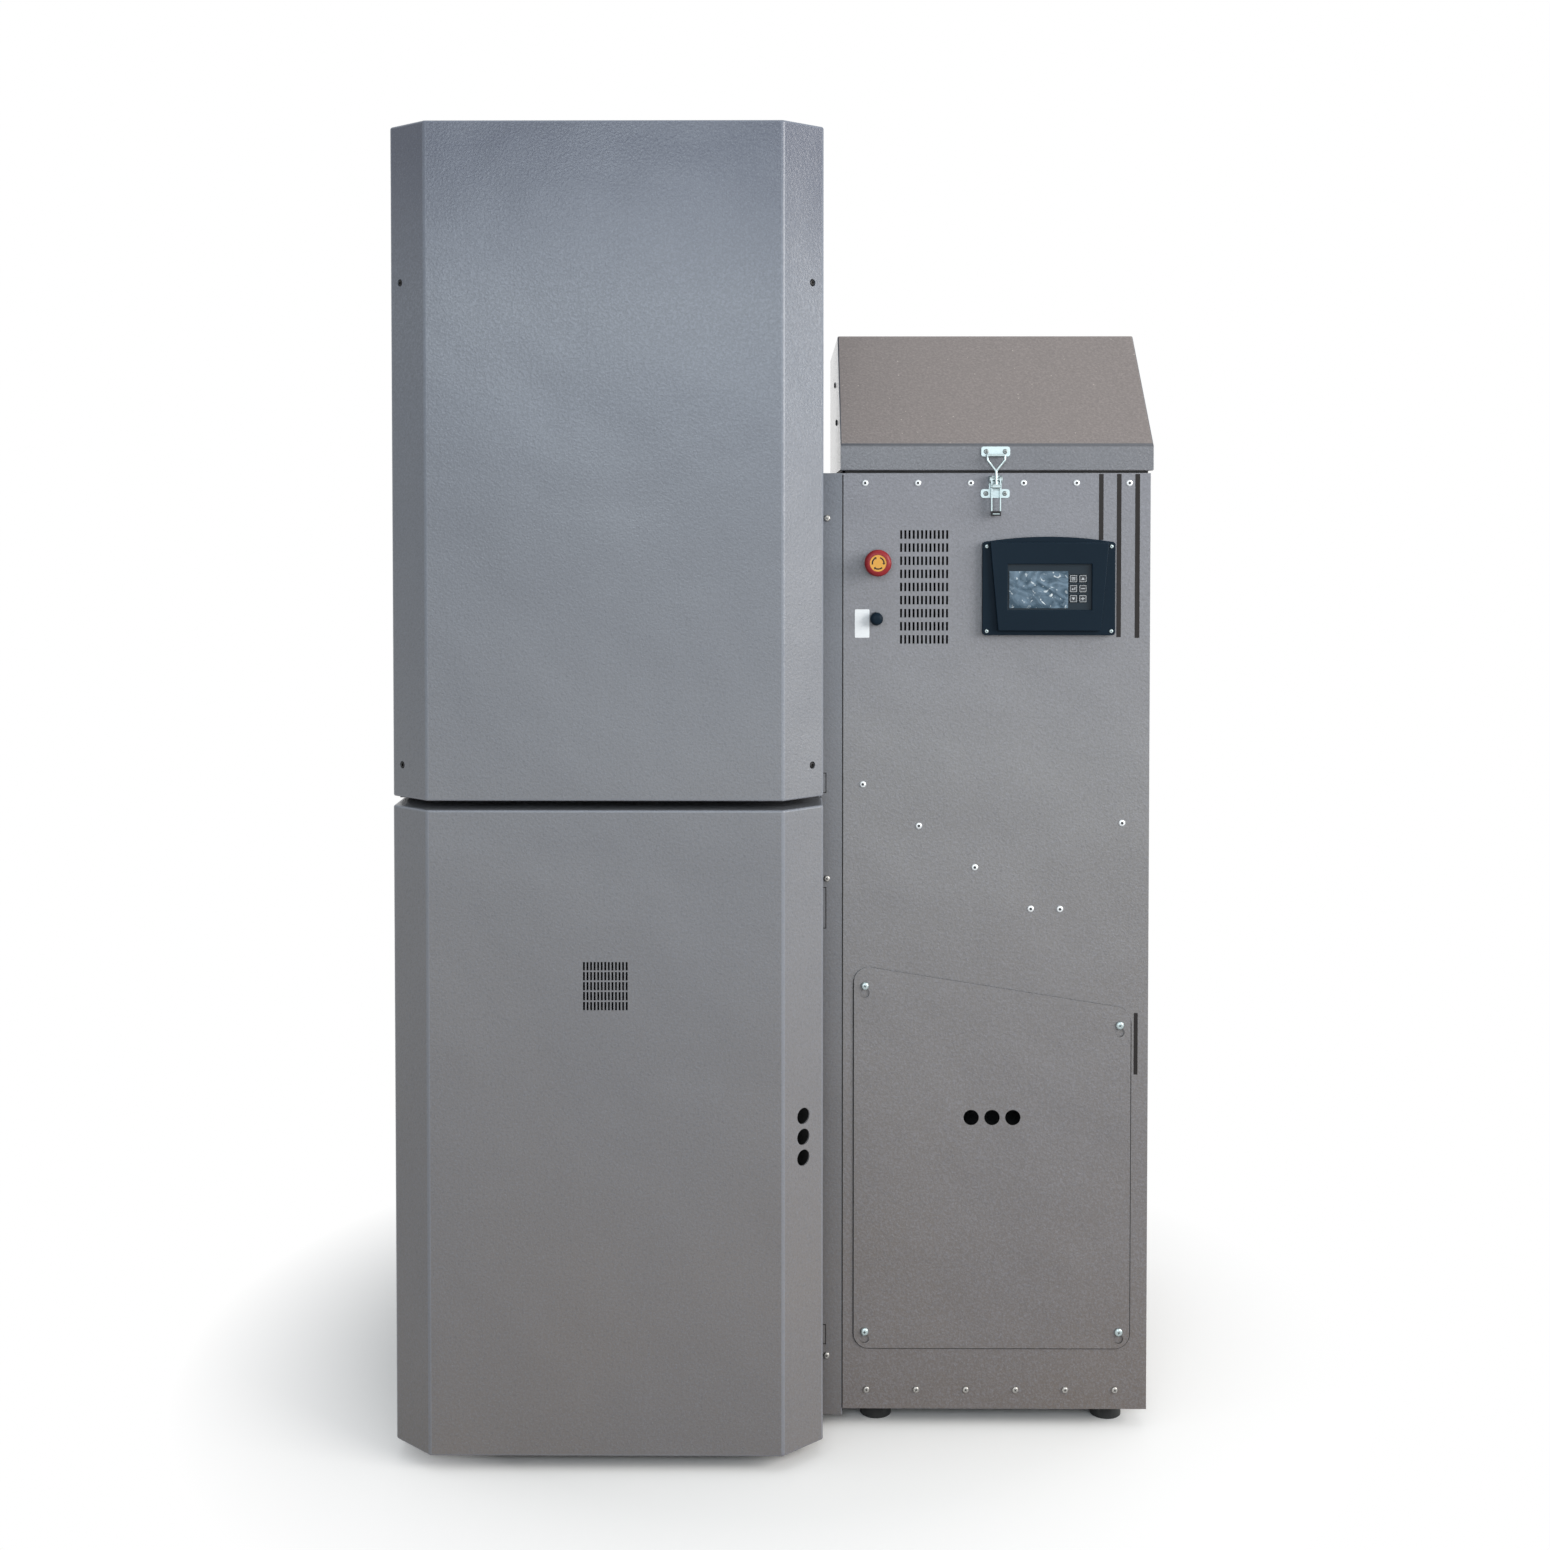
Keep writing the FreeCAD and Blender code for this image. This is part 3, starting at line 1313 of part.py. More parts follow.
bezel = body("controller_bezel")
bezel_sketch = sketch_on(bezel, "XZ_Plane", "-cabinet_front")
corners = rectangle(("controller_x", "controller_x_end"), ("controller_low", "controller_z_end"))
spots = [FreeCAD.Vector(measure(u), measure(v), 0) for u, v in corners]
crown = (spots[2] + spots[3]) / 2 + FreeCAD.Vector(0, measure("controller_arch"), 0)
sides = [(spots[3], spots[0]), (spots[0], spots[1]), (spots[1], spots[2])]
lines = [bezel_sketch.addGeometry(Part.LineSegment(a, b)) for a, b in sides]
arch = bezel_sketch.addGeometry(Part.Arc(spots[2], crown, spots[3]))
for first, second in zip(lines, lines[1:]):
    bezel_sketch.addConstraint(Sketcher.Constraint("Coincident", first, 2, second, 1))
bezel_sketch.addConstraint(Sketcher.Constraint("Coincident", lines[2], 2, arch, 1))
bezel_sketch.addConstraint(Sketcher.Constraint("Coincident", arch, 2, lines[0], 1))
for line, corner in zip(lines, (corners[3], corners[0], corners[1])):
    pin(bezel_sketch, line, 1, *corner)
pin(bezel_sketch, lines[2], 2, *corners[2])
arch_radius = "controller_width ^ 2 / (8 * controller_arch) + controller_arch / 2"
limit(bezel_sketch, "Radius", arch_radius, arch)
bezel_rim = bezel.newObject("PartDesign::Pad", "bezel_rim")
bezel_rim.Profile = bezel_sketch
bind(bezel_rim, "Length", "controller_rim")
doc.recompute()
round_edges(bezel, "controller_corner", runs_along("y"))
face = [
    ("controller_x + face_low_inset", "controller_low + face_low_rise"),
    ("controller_x_end - face_low_inset", "controller_low + face_low_rise"),
    ("controller_x_end - face_high_inset", "controller_z_end"),
    ("controller_x + face_high_inset", "controller_z_end"),
]
pad(bezel, "XZ_Plane", "-(cabinet_front - controller_rim)", "controller_face", [face])
window = rectangle(("window_x", "window_x_end"), ("window_z", "window_z_end"))
pocket(bezel, "XZ_Plane", "-(cabinet_front - controller_rim - controller_face)", "window_recess", [window])

KEY_ROWS = (("down", "plus"), ("enter", "minus"), ("menu", "up"))
key_places = {}
for row, names in enumerate(KEY_ROWS):
    for column, name in enumerate(names):
        key_places[name] = (f"key_x + {column} * key_pitch_across", f"key_z + {row} * key_pitch_up")


def key_square(x, z, gap):
    """A key's outline, widened by a gap for its hole."""
    reach = f"(key_size / 2 + {gap})"
    return rectangle((f"{x} - {reach}", f"{x} + {reach}"), (f"{z} - {reach}", f"{z} + {reach}"))


key_holes = [key_square(x, z, "key_gap") for x, z in key_places.values()]
pocket(bezel, "XZ_Plane", "-window_floor", "cabinet_front - window_floor", key_holes)
node("controller_bezel", bezel)

for name, (x, z) in key_places.items():
    key = body(f"key_{name}")
    key_back = "(cabinet_front - key_travel - slide_gap)"
    pad(key, "XZ_Plane", f"-{key_back}", f"{key_back} - window_floor + key_rise", [key_square(x, z, "0")])
    round_edges(key, "key_corner", runs_along("y"))
    node(f"key_{name}", key)

display = block(
    "display_glass",
    ("display_x", "display_x + display_width"),
    ("window_floor - panel_sheet", "window_floor"),
    ("display_z", "display_z + display_height"),
)
node("controller_display", display)
control_box = block(
    "control_box",
    ("window_x - controller_box_margin", "window_x_end + controller_box_margin"),
    ("cabinet_front", "cabinet_front + controller_box_depth"),
    ("window_z - controller_box_margin", "window_z_end + controller_box_margin"),
)
node("controller_box", control_box)


# Emergency stop: contact block behind the panel, collar in front, plunger and turning head


def front_rod(name, x, z, radius, begin, end):
    """A round bar along Y, its ends given from the cabinet's front face."""
    return rod(name, "y", (x, f"cabinet_front + {begin}", z), radius, f"({end}) - ({begin})")


def stop_rod(name, radius, begin, end):
    return front_rod(name, "stop_x", "stop_height", radius, begin, end)


stop_half = "stop_block / 2"
stop_case = block(
    "stop_case",
    (f"stop_x - {stop_half}", f"stop_x + {stop_half}"),
    ("inner_front", "inner_front + stop_block_depth"),
    (f"stop_height - {stop_half}", f"stop_height + {stop_half}"),
)
bore_end = "(stop_block_depth - stop_block_wall)"
stop_neck = stop_rod("stop_neck", "stop_collar / 2 - stop_neck_inset - slide_gap", "0", "panel_sheet")
stop_collar = stop_rod("stop_collar_ring", "stop_collar / 2", "-stop_collar_rise", "0")
stop_bore = stop_rod("stop_bore", "stop_stem / 2 + running_fit", "-stop_collar_rise", bore_end)
stop_whole = joined("stop_whole", [stop_case, stop_neck, stop_collar])
node("estop_block", cut("estop_block", stop_whole, [stop_bore]))
stem_front = "(stop_cap - stop_reach)"
stem_end = f"{bore_end} - stop_travel - slide_gap"
node("estop_plunger", stop_rod("stop_plunger", "stop_stem / 2", stem_front, stem_end))


def stop_band(name, begin, end):
    """One cone of the head's rounded edge, between two angles of its quarter circle."""
    thing = doc.addObject("Part::Cone", name)
    thing.Placement = FreeCAD.Placement(FreeCAD.Vector(), TURN_TO["y"])
    flat = "stop_head / 2 - stop_cap"
    bind(thing, "Radius1", f"{flat} + stop_cap * cos({end} deg)")
    bind(thing, "Radius2", f"{flat} + stop_cap * cos({begin} deg)")
    bind(thing, "Height", f"stop_cap * (sin({end} deg) - sin({begin} deg))")
    place(thing, "stop_x", f"cabinet_front - stop_reach + stop_cap * (1 - sin({end} deg))", "stop_height")
    return thing


STOP_EDGE = (0, 22.5, 45, 67.5, 90)
rim_front = "(stop_cap - stop_reach)"
rim_back = "(2 * stop_cap - stop_reach)"
skirt_back = f"({rim_back} + stop_skirt)"
stop_head = [
    stop_rod("stop_rim", "stop_head / 2", rim_front, rim_back),
    stop_rod("stop_skirt_ring", "stop_head / 2 - stop_cap", rim_back, skirt_back),
]
stop_head += [stop_band("stop_edge", begin, end) for begin, end in zip(STOP_EDGE, STOP_EDGE[1:])]
stem_hole = stop_rod("stop_stem_hole", "stop_stem / 2 + running_fit", stem_front, skirt_back)
node("estop_head", cut("estop_head", joined("stop_head_whole", stop_head), [stem_hole]))


# Safety thermostat: body behind the panel, threaded neck, screw cap


def reset_rod(name, radius, begin, end):
    return front_rod(name, "reset_x", "reset_height", radius, begin, end)


reset_case = reset_rod("reset_case", "reset_body / 2", "panel_sheet", "panel_sheet + reset_body_depth")
reset_neck = reset_rod("reset_neck_rod", "reset_neck / 2", "-reset_cap_rise + reset_cap_end", "panel_sheet")
node("thermostat_body", joined("thermostat_body", [reset_case, reset_neck]))
cap_shell = reset_rod("cap_shell", "reset_cap / 2", "-reset_cap_rise", "-slide_gap")
cap_floor = "-reset_cap_rise + reset_cap_end - slide_gap"
cap_bore = reset_rod("cap_bore", "reset_neck / 2 + running_fit", cap_floor, "-slide_gap")
node("reset_cap", cut("reset_cap", cap_shell, [cap_bore]))


# Toggle latch: base with ears and pin, lever, wire loop, strike on the lid

latch_y = "loop_y + latch_link_out"


def latch_block(name, half, y, z):
    return block(name, (f"latch_x - {half}", f"latch_x + {half}"), y, z)


def latch_rod(name, half, y, z, radius):
    return rod(name, "x", (f"latch_x - {half}", y, z), radius, f"2 * ({half})")


plate_y = ("cabinet_front - latch_plate", "cabinet_front")
base_low = "cabinet_top - latch_base_low"
base_z = (base_low, f"{base_low} + latch_base_height")
tongue_z = (base_low, "latch_pivot_z + latch_ear_round")
ear_reach = "(latch_ear_gap / 2 + latch_ear_sheet)"
latch_parts = [
    latch_block("latch_base_plate", "latch_base_width / 2", plate_y, base_z),
    latch_block("latch_tongue", ear_reach, plate_y, tongue_z),
    latch_rod("latch_pin_rod", ear_reach, latch_y, "latch_pivot_z", "latch_pin / 2"),
]
ear_z = ("latch_pivot_z - latch_ear_round", "latch_pivot_z + latch_ear_round")
for near in (f"latch_x - {ear_reach}", "latch_x + latch_ear_gap / 2"):
    ear_x = (near, f"{near} + latch_ear_sheet")
    latch_parts.append(block("latch_ear", ear_x, (latch_y, "cabinet_front - latch_plate"), ear_z))
    ear_middle = (near, latch_y, "latch_pivot_z")
    latch_parts.append(rod("latch_ear_end", "x", ear_middle, "latch_ear_round", "latch_ear_sheet"))
node("latch_base", joined("latch_base", latch_parts))

lever_half = "(latch_ear_gap / 2 - slide_gap)"
lever_low = "latch_pivot_z - latch_lever_length"
lever_y = (f"{latch_y} - latch_ear_round", f"{latch_y} + latch_pin / 2")
lever_whole = [
    latch_block("lever_blank", lever_half, lever_y, (lever_low, "latch_pivot_z")),
    latch_rod("lever_round", lever_half, latch_y, "latch_pivot_z", "latch_ear_round"),
]
lever_slot_half = f"({lever_half} - latch_ear_sheet)"
lever_slot = latch_block(
    "lever_slot",
    lever_slot_half,
    (f"{latch_y} - 2 * latch_ear_round", f"{latch_y} + 2 * latch_ear_round"),
    (f"{lever_low} + latch_web", "latch_pivot_z + 2 * latch_ear_round"),
)
lever_bore = latch_rod("lever_bore", "latch_ear_gap", latch_y, "latch_pivot_z", "latch_pin / 2 + running_fit")
lever_frame = cut("lever_frame", joined("lever_sides", lever_whole), [lever_slot, lever_bore])
lever_link = latch_rod("lever_link", lever_half, "loop_y", "latch_link_z", "latch_pin / 2 - slide_gap")
node("latch_lever", joined("latch_lever", [lever_frame, lever_link]))

strike_back = "lid_front - latch_plate"
strike_z = ("strike_low", "strike_top")
hook_y = (f"{strike_back} - strike_hook_reach", "lid_front")
strike = [
    latch_block("strike_plate", "strike_width / 2", (strike_back, "lid_front"), strike_z),
    latch_block("strike_hook", "strike_hook_width / 2", hook_y, ("strike_low", "strike_low + latch_wire")),
]
node("latch_strike", joined("latch_strike", strike))

wire = "latch_wire / 2"
bar_z = "strike_low + latch_wire / 2"
shoulder_z = f"({bar_z} - latch_shoulder_drop)"
throat_z = f"({shoulder_z} - latch_throat_drop)"
loop_half = "(latch_loop_width / 2)"


def slanted_wire(name, side):
    """The sloping wire from the throat of the loop out to its shoulder."""
    thing = doc.addObject("Part::Cylinder", name)
    thing.Placement = FreeCAD.Placement(FreeCAD.Vector(), FreeCAD.Rotation(FreeCAD.Vector(0, side, 0), 1))
    bind(thing, "Radius", wire)
    bind(thing, "Height", f"sqrt({loop_half} ^ 2 + latch_throat_drop ^ 2)")
    bind(thing, "Placement.Rotation.Angle", f"atan2({loop_half}; latch_throat_drop)")
    place(thing, "latch_x", "loop_y", throat_z)
    return thing


def wire_bend(name, x, z):
    ball = doc.addObject("Part::Sphere", name)
    bind(ball, "Radius", wire)
    place(ball, x, "loop_y", z)
    return ball


link_middle = ("latch_x", "loop_y", "latch_link_z")
loop = [
    latch_rod("loop_bar", loop_half, "loop_y", bar_z, wire),
    rod("loop_rod", "z", link_middle, "latch_rod / 2", f"{throat_z} - latch_link_z"),
    wire_bend("loop_throat", "latch_x", throat_z),
]
for side in (-1, 1):
    x = f"latch_x + {side} * {loop_half}"
    loop.append(slanted_wire(f"loop_slant_{side + 2}", side))
    loop.append(rod(f"loop_side_{side + 2}", "z", (x, "loop_y", shoulder_z), wire, f"{bar_z} - {shoulder_z}"))
    loop.append(wire_bend(f"loop_shoulder_{side + 2}", x, shoulder_z))
    loop.append(wire_bend(f"loop_corner_{side + 2}", x, bar_z))
eye_half = f"({lever_slot_half} - slide_gap)"
loop.append(latch_rod("loop_eye", eye_half, "loop_y", "latch_link_z", "latch_pin / 2 + latch_eye_wall"))
eye_fit = "latch_pin / 2 - slide_gap + running_fit"
eye_bore = latch_rod("loop_eye_bore", lever_half, "loop_y", "latch_link_z", eye_fit)
node("latch_loop", cut("latch_loop", joined("loop_wire", loop), [eye_bore]))


# Feed screw: an open trough under the bin neck, the screw, its gear motor and the drop chute

feed_start = ("outlet_x", "inner_front", "screw_z")
feed_length = "inner_back - inner_front"
chute_y = "(inner_front + chute_setback)"
chute_run = f"(burner_y - {chute_y})"
chute_fall = "(screw_z - burner_high)"


def chute_bar(name, radius):
    """A round bar from the trough's middle down and back to the burner's inlet."""
    thing = doc.addObject("Part::Cylinder", name)
    thing.Placement = FreeCAD.Placement(FreeCAD.Vector(), FreeCAD.Rotation(FreeCAD.Vector(-1, 0, 0), 1))
    bind(thing, "Radius", radius)
    bind(thing, "Height", f"sqrt({chute_run} ^ 2 + {chute_fall} ^ 2) + chute_pipe")
    bind(thing, "Placement.Rotation.Angle", f"atan2({chute_run}; -{chute_fall})")
    place(thing, "outlet_x", chute_y, "screw_z")
    return thing


trough_shell = rod("trough_shell", "y", feed_start, "screw_tube / 2", feed_length)
trough_whole = joined("trough_whole", [trough_shell, chute_bar("chute_shell", "chute_pipe / 2")])
mouth_half = "(bin_outlet_width / 2 + panel_sheet + slide_gap)"
trough_cuts = [
    rod("trough_bore", "y", feed_start, "screw_tube / 2 - screw_tube_wall", feed_length),
    block(
        "trough_mouth",
        (f"outlet_x - {mouth_half}", f"outlet_x + {mouth_half}"),
        ("inner_front", "inner_back"),
        ("screw_z", "screw_z + screw_tube"),
    ),
    chute_bar("chute_bore", "chute_pipe / 2 - chute_wall"),
    block(
        "chute_trim",
        ("outlet_x - chute_pipe", "outlet_x + chute_pipe"),
        ("inner_front", "burner_y + 2 * chute_pipe"),
        ("burner_high - 2 * chute_pipe", "burner_high"),
    ),
]
node("feed_trough", cut("feed_trough", trough_whole, trough_cuts))

screw = body("feed_screw")
screw_back = "(cabinet_back + motor_grip)"
screw_front = "(inner_front + screw_clearance)"
shaft_round = [("outlet_x", "screw_z", "screw_shaft / 2")]
pad(screw, "XZ_Plane", f"-{screw_back}", f"{screw_back} - {screw_front}", circles=shaft_round)
flight_sketch = sketch_on(screw, "YZ_Plane", "outlet_x")
bind(flight_sketch, "AttachmentOffset.Base.y", "screw_z")
flight_start = f"{screw_front} + screw_clearance"
flight = rectangle(
    (flight_start, f"{flight_start} + screw_flight"),
    ("screw_shaft / 2 - screw_flight / 2", "screw_radius"),
)
outline(flight_sketch, flight)
helix = screw.newObject("PartDesign::AdditiveHelix", "screw_flight_turns")
helix.Profile = flight_sketch
helix.ReferenceAxis = (flight_sketch, ["H_Axis"])
helix.Mode = "pitch-height-angle"
bind(helix, "Pitch", "screw_pitch")
bind(helix, "Height", f"inner_back - ({flight_start}) - screw_flight - screw_clearance")
doc.recompute()
node("feed_screw", screw)

gearbox = block(
    "gearbox",
    ("outlet_x - motor_size / 2", "outlet_x + motor_size / 2"),
    ("cabinet_back", "cabinet_back + motor_size / 2"),
    ("screw_z - motor_size / 2", "screw_z + motor_size / 2"),
)
motor_start = ("outlet_x", "cabinet_back", "screw_z")
motor_can = rod("motor_can", "y", motor_start, "motor_can / 2", "motor_length")
motor_bore = rod("motor_bore", "y", motor_start, "screw_shaft / 2 + running_fit", "motor_grip + slide_gap")
node("feed_motor", cut("feed_motor", joined("motor_whole", [gearbox, motor_can]), [motor_bore]))


# Burner: housing with inlet and fan ring, flame tube bolted to the vessel, fan wheel


def burner_rod(name, begin, end, radius):
    """A round bar on the burner's own axis."""
    return rod(name, "x", (begin, "burner_y", "burner_height"), radius, f"({end}) - ({begin})")


burner_case = block(
    "burner_case",
    ("burner_left", "burner_right"),
    ("burner_y - burner_size / 2", "burner_y + burner_size / 2"),
    ("burner_low", "burner_high"),
)
ring_bore = "(fan_width / 2 + fan_gap)"
fan_end = "burner_right + fan_depth"
fan_ring = cut(
    "fan_ring",
    burner_rod("fan_ring_shell", "burner_right", fan_end, f"{ring_bore} + burner_wall"),
    [burner_rod("fan_ring_bore", "burner_right", fan_end, ring_bore)],
)
back_wall = "burner_right - burner_wall"
fan_shaft = burner_rod("fan_shaft", back_wall, f"{fan_end} - fan_gap", "fan_shaft_width / 2")
fire_pot = burner_rod("fire_pot", "burner_left", back_wall, "flame_tube / 2 - flame_tube_wall")
inlet_start = ("outlet_x", "burner_y", "burner_height")
inlet = rod("burner_inlet", "z", inlet_start, "chute_pipe / 2 - chute_wall", "burner_size / 2")
AIR_HOLES = 6
air_ways = []
for number in range(AIR_HOLES):
    turn = f"({number} * 360 deg / {AIR_HOLES})"
    spot_y = f"burner_y + air_hole_circle / 2 * cos({turn})"
    spot_z = f"burner_height + air_hole_circle / 2 * sin({turn})"
    air_ways.append(rod("air_way", "x", (back_wall, spot_y, spot_z), "air_hole / 2", "burner_wall"))
burner_hollow = cut("burner_hollow", burner_case, [fire_pot, inlet, *air_ways])
node("burner_body", joined("burner_body", [burner_hollow, fan_ring, fan_shaft]))

flame_start = "firebox_half - flame_tube_reach"
flame_shell = [
    burner_rod("flame_shell", flame_start, "burner_left", "flame_tube / 2"),
    burner_rod("flame_flange", "vessel_half", "vessel_half + burner_flange_plate", "burner_flange / 2"),
]
flame_bore = burner_rod("flame_bore", flame_start, "burner_left", "flame_tube / 2 - flame_tube_wall")
node("flame_tube", cut("flame_tube", joined("flame_whole", flame_shell), [flame_bore]))

FAN_BLADES = 8
fan = body("burner_fan")
wheel_start = "burner_right + fan_gap"
wheel_depth = "fan_depth - 2 * fan_gap"


def fan_sketch():
    sketch = sketch_on(fan, "YZ_Plane", wheel_start)
    bind(sketch, "AttachmentOffset.Base.x", "burner_y")
    bind(sketch, "AttachmentOffset.Base.y", "burner_height")
    return sketch


shaft_fit = ("0", "0", "fan_shaft_width / 2 + running_fit")
pad(fan, None, None, "fan_blade", circles=[("0", "0", "fan_width / 2"), shaft_fit], sketch=fan_sketch())
pad(fan, None, None, wheel_depth, circles=[("0", "0", "fan_hub / 2"), shaft_fit], sketch=fan_sketch())
blade = rectangle(
    ("fan_hub / 2 - fan_blade", "fan_width / 2 - fan_blade"), ("-fan_blade / 2", "fan_blade / 2")
)
first_blade = pad(fan, None, None, wheel_depth, [blade], sketch=fan_sketch())
wheel = fan.newObject("PartDesign::PolarPattern", "fan_wheel")
wheel.Originals = [first_blade]
wheel.Axis = (first_blade.Profile[0], ["N_Axis"])
wheel.Occurrences = FAN_BLADES
fan.Tip = wheel
doc.recompute()
node("burner_fan", fan)


# Check every piece, then write one file for each

doc.recompute()
failed = [thing.Name for thing in doc.Objects if {"Invalid", "Error"} & set(thing.State)]
if failed:
    raise ValueError(f"not built: {failed}")
unsound = [thing.Label for thing in NODES if thing.Shape.isNull() or not thing.Shape.isValid()]
if unsound:
    raise ValueError(f"not sound: {unsound}")
os.makedirs("parts", exist_ok=True)
for thing in NODES:
    thing.Shape.exportStep(f"parts/{thing.Label}.step")
    print(thing.Label, len(thing.Shape.Solids), round(thing.Shape.Volume / 1000, 1))
print(len(NODES), "pieces")
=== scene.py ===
# %% [markdown]
# # Dressing a pellet boiler
# The frame brings sixty plain CAD nodes of a boiler and its pellet cabinet. They could be modelled
# anew. Here each is copied, softened and given a finish, so sizes and joints stay the frame's.

import json
import math

import bmesh
import bpy
from mathutils import Matrix, Vector
from mathutils.geometry import tessellate_polygon


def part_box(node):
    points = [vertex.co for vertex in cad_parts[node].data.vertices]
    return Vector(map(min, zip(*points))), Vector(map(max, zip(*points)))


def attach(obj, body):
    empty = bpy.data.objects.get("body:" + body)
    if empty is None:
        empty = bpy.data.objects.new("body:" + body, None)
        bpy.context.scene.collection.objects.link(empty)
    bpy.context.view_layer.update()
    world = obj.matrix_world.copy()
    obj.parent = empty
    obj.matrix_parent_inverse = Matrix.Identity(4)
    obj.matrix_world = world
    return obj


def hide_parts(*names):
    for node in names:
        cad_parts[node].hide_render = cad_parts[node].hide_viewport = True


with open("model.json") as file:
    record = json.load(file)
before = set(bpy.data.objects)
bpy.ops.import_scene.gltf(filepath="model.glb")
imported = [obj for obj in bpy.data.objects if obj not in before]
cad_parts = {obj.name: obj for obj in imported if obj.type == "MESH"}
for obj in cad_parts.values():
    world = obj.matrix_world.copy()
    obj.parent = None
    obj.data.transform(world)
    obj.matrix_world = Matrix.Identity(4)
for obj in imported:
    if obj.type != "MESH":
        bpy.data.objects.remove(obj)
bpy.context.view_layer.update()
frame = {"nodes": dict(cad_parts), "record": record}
scene = bpy.context.scene
MM = 0.001
BODIES = frame["record"]["behaviour"]["bodies"]
BODY_OF = {node: body for body, nodes in BODIES.items() for node in nodes}
SLOT_OF = {row["node"]: row["material_slot"] for row in frame["record"]["subparts"]}

# %% [markdown]
# ## Camera
# The boiler is seen from about 2.3 metres before its door, almost level. Tilting the camera down would
# make the uprights lean. A lens shift moves the picture instead, as a view camera does.


# %% camera
def put(name, data):
    """An object in the scene."""
    thing = bpy.data.objects.new(name, data)
    scene.collection.objects.link(thing)
    return thing


camera = put("camera", bpy.data.cameras.new("camera"))
camera.data.lens = 43.86
camera.data.sensor_width = 36
camera.data.shift_y = -0.1401
camera.location = (0.2195, -2.7101, 1.1774)
camera.rotation_euler = (math.radians(88.5), 0, math.radians(0.3444))
scene.camera = camera
scene.view_settings.view_transform = "Standard"
print("lens", camera.data.lens, "mm, shift", camera.data.shift_y)

# %% [markdown]
# ## Node helpers
# Every finish is a small shader tree. It could be wired in the editor, or written node by node. A few
# helpers read better: they add a node and feed its sockets in one line.


# %% node helpers
def blank_tree(owner):
    """The emptied node tree of a world or a material."""
    owner.use_nodes = True
    owner.node_tree.nodes.clear()
    return owner.node_tree


def plug(tree, socket, value):
    """Link a node's output to a socket, or set a value there, colours with full alpha."""
    if isinstance(value, bpy.types.NodeSocket):
        tree.links.new(value, socket)
    else:
        socket.default_value = (*value, 1.0) if socket.type == "RGBA" else value


def feed(tree, node, *values, **inputs):
    """Plug values into the first sockets, others by name with an underscore for each space."""
    for socket, value in zip(node.inputs, values):
        plug(tree, socket, value)
    for name, value in inputs.items():
        plug(tree, node.inputs[name.replace("_", " ")], value)


def add(tree, kind, *values, **inputs):
    """A shader node with its inputs."""
    node = tree.nodes.new(f"ShaderNode{kind}")
    feed(tree, node, *values, **inputs)
    return node


def combined(tree, operation, *values):
    """A math node on two values."""
    node = add(tree, "Math", *values)
    node.operation = operation
    return node.outputs[0]


def mixed(tree, share, first, second):
    """Two colours, mixed by a share from 0 to 1."""
    node = tree.nodes.new("ShaderNodeMix")
    node.data_type = "RGBA"
    for index, value in ((0, share), (6, first), (7, second)):
        plug(tree, node.inputs[index], value)
    return node.outputs[2]


# %% pattern helpers
def noise(tree, place, scale, detail=2.0, distortion=0.0):
    """Soft noise from 0 to 1, with so many cells per metre."""
    made = add(tree, "TexNoise", Vector=place, Scale=scale, Detail=detail, Distortion=distortion)
    return made.outputs["Fac"]


def spread(tree, value, low, high, new_low=0.0, new_high=1.0):
    """Stretch a value from one range to another, and stop at its ends."""
    return add(tree, "MapRange", value, low, high, new_low, new_high).outputs["Result"]


def marked(tree, name, share):
    """A mark that the mesh carries, times a share."""
    node = add(tree, "Attribute")
    node.attribute_name = name
    return spread(tree, node.outputs["Fac"], 0.0, 1.0, 0.0, share)


def bumped(tree, height, strength, distance, **inputs):
    """A normal that follows a height."""
    made = add(tree, "Bump", Strength=strength, Distance=distance, Height=height, **inputs)
    return made.outputs["Normal"]


def shade(colour, share):
    """A colour made darker or lighter."""
    return tuple(channel * share for channel in colour)


# %% [markdown]
# ## World
# The boiler stands before plain white, but a white world would light it from all sides and wash its
# folds out. So the camera's rays, mirrored and refracted ones see white, the others a dim, bluish glow.

# %% world
AMBIENT = 0.6
GLOW = (0.94, 0.98, 1.0)
WHITE = (1.0, 1.0, 1.0)


def sees_backdrop(tree):
    """1 for the camera's rays and for mirrored and refracted ones."""
    path = add(tree, "LightPath").outputs
    direct = combined(tree, "MAXIMUM", path["Is Camera Ray"], path["Is Glossy Ray"])
    return combined(tree, "MAXIMUM", direct, path["Is Transmission Ray"])


scene.world = bpy.data.worlds.new("studio")
sky = blank_tree(scene.world)
dim = add(sky, "Background", Color=GLOW, Strength=AMBIENT).outputs[0]
plain = add(sky, "Background", Color=WHITE, Strength=1.0).outputs[0]
backdrop = add(sky, "MixShader", sees_backdrop(sky), dim, plain).outputs[0]
add(sky, "OutputWorld", Surface=backdrop)
print("world glow", AMBIENT)

# %% [markdown]
# ## Lights
# The right chamfers and the lid are brightest, and the upper cover has a broad sheen. A sun would give
# hard shadows. Soft boxes stand as in a studio: right, behind that, in front, for the sheen, overhead.


# %% lights
def softbox(name, place, target, size, power, colour):
    """A rectangular light that looks at a point."""
    light = bpy.data.lights.new(name, "AREA")
    light.shape = "RECTANGLE"
    light.size, light.size_y = size
    light.energy = power
    light.color = colour
    holder = put(name, light)
    holder.location = place
    holder.rotation_euler = (Vector(target) - Vector(place)).to_track_quat("-Z", "Y").to_euler()
    print(name, power, "W")


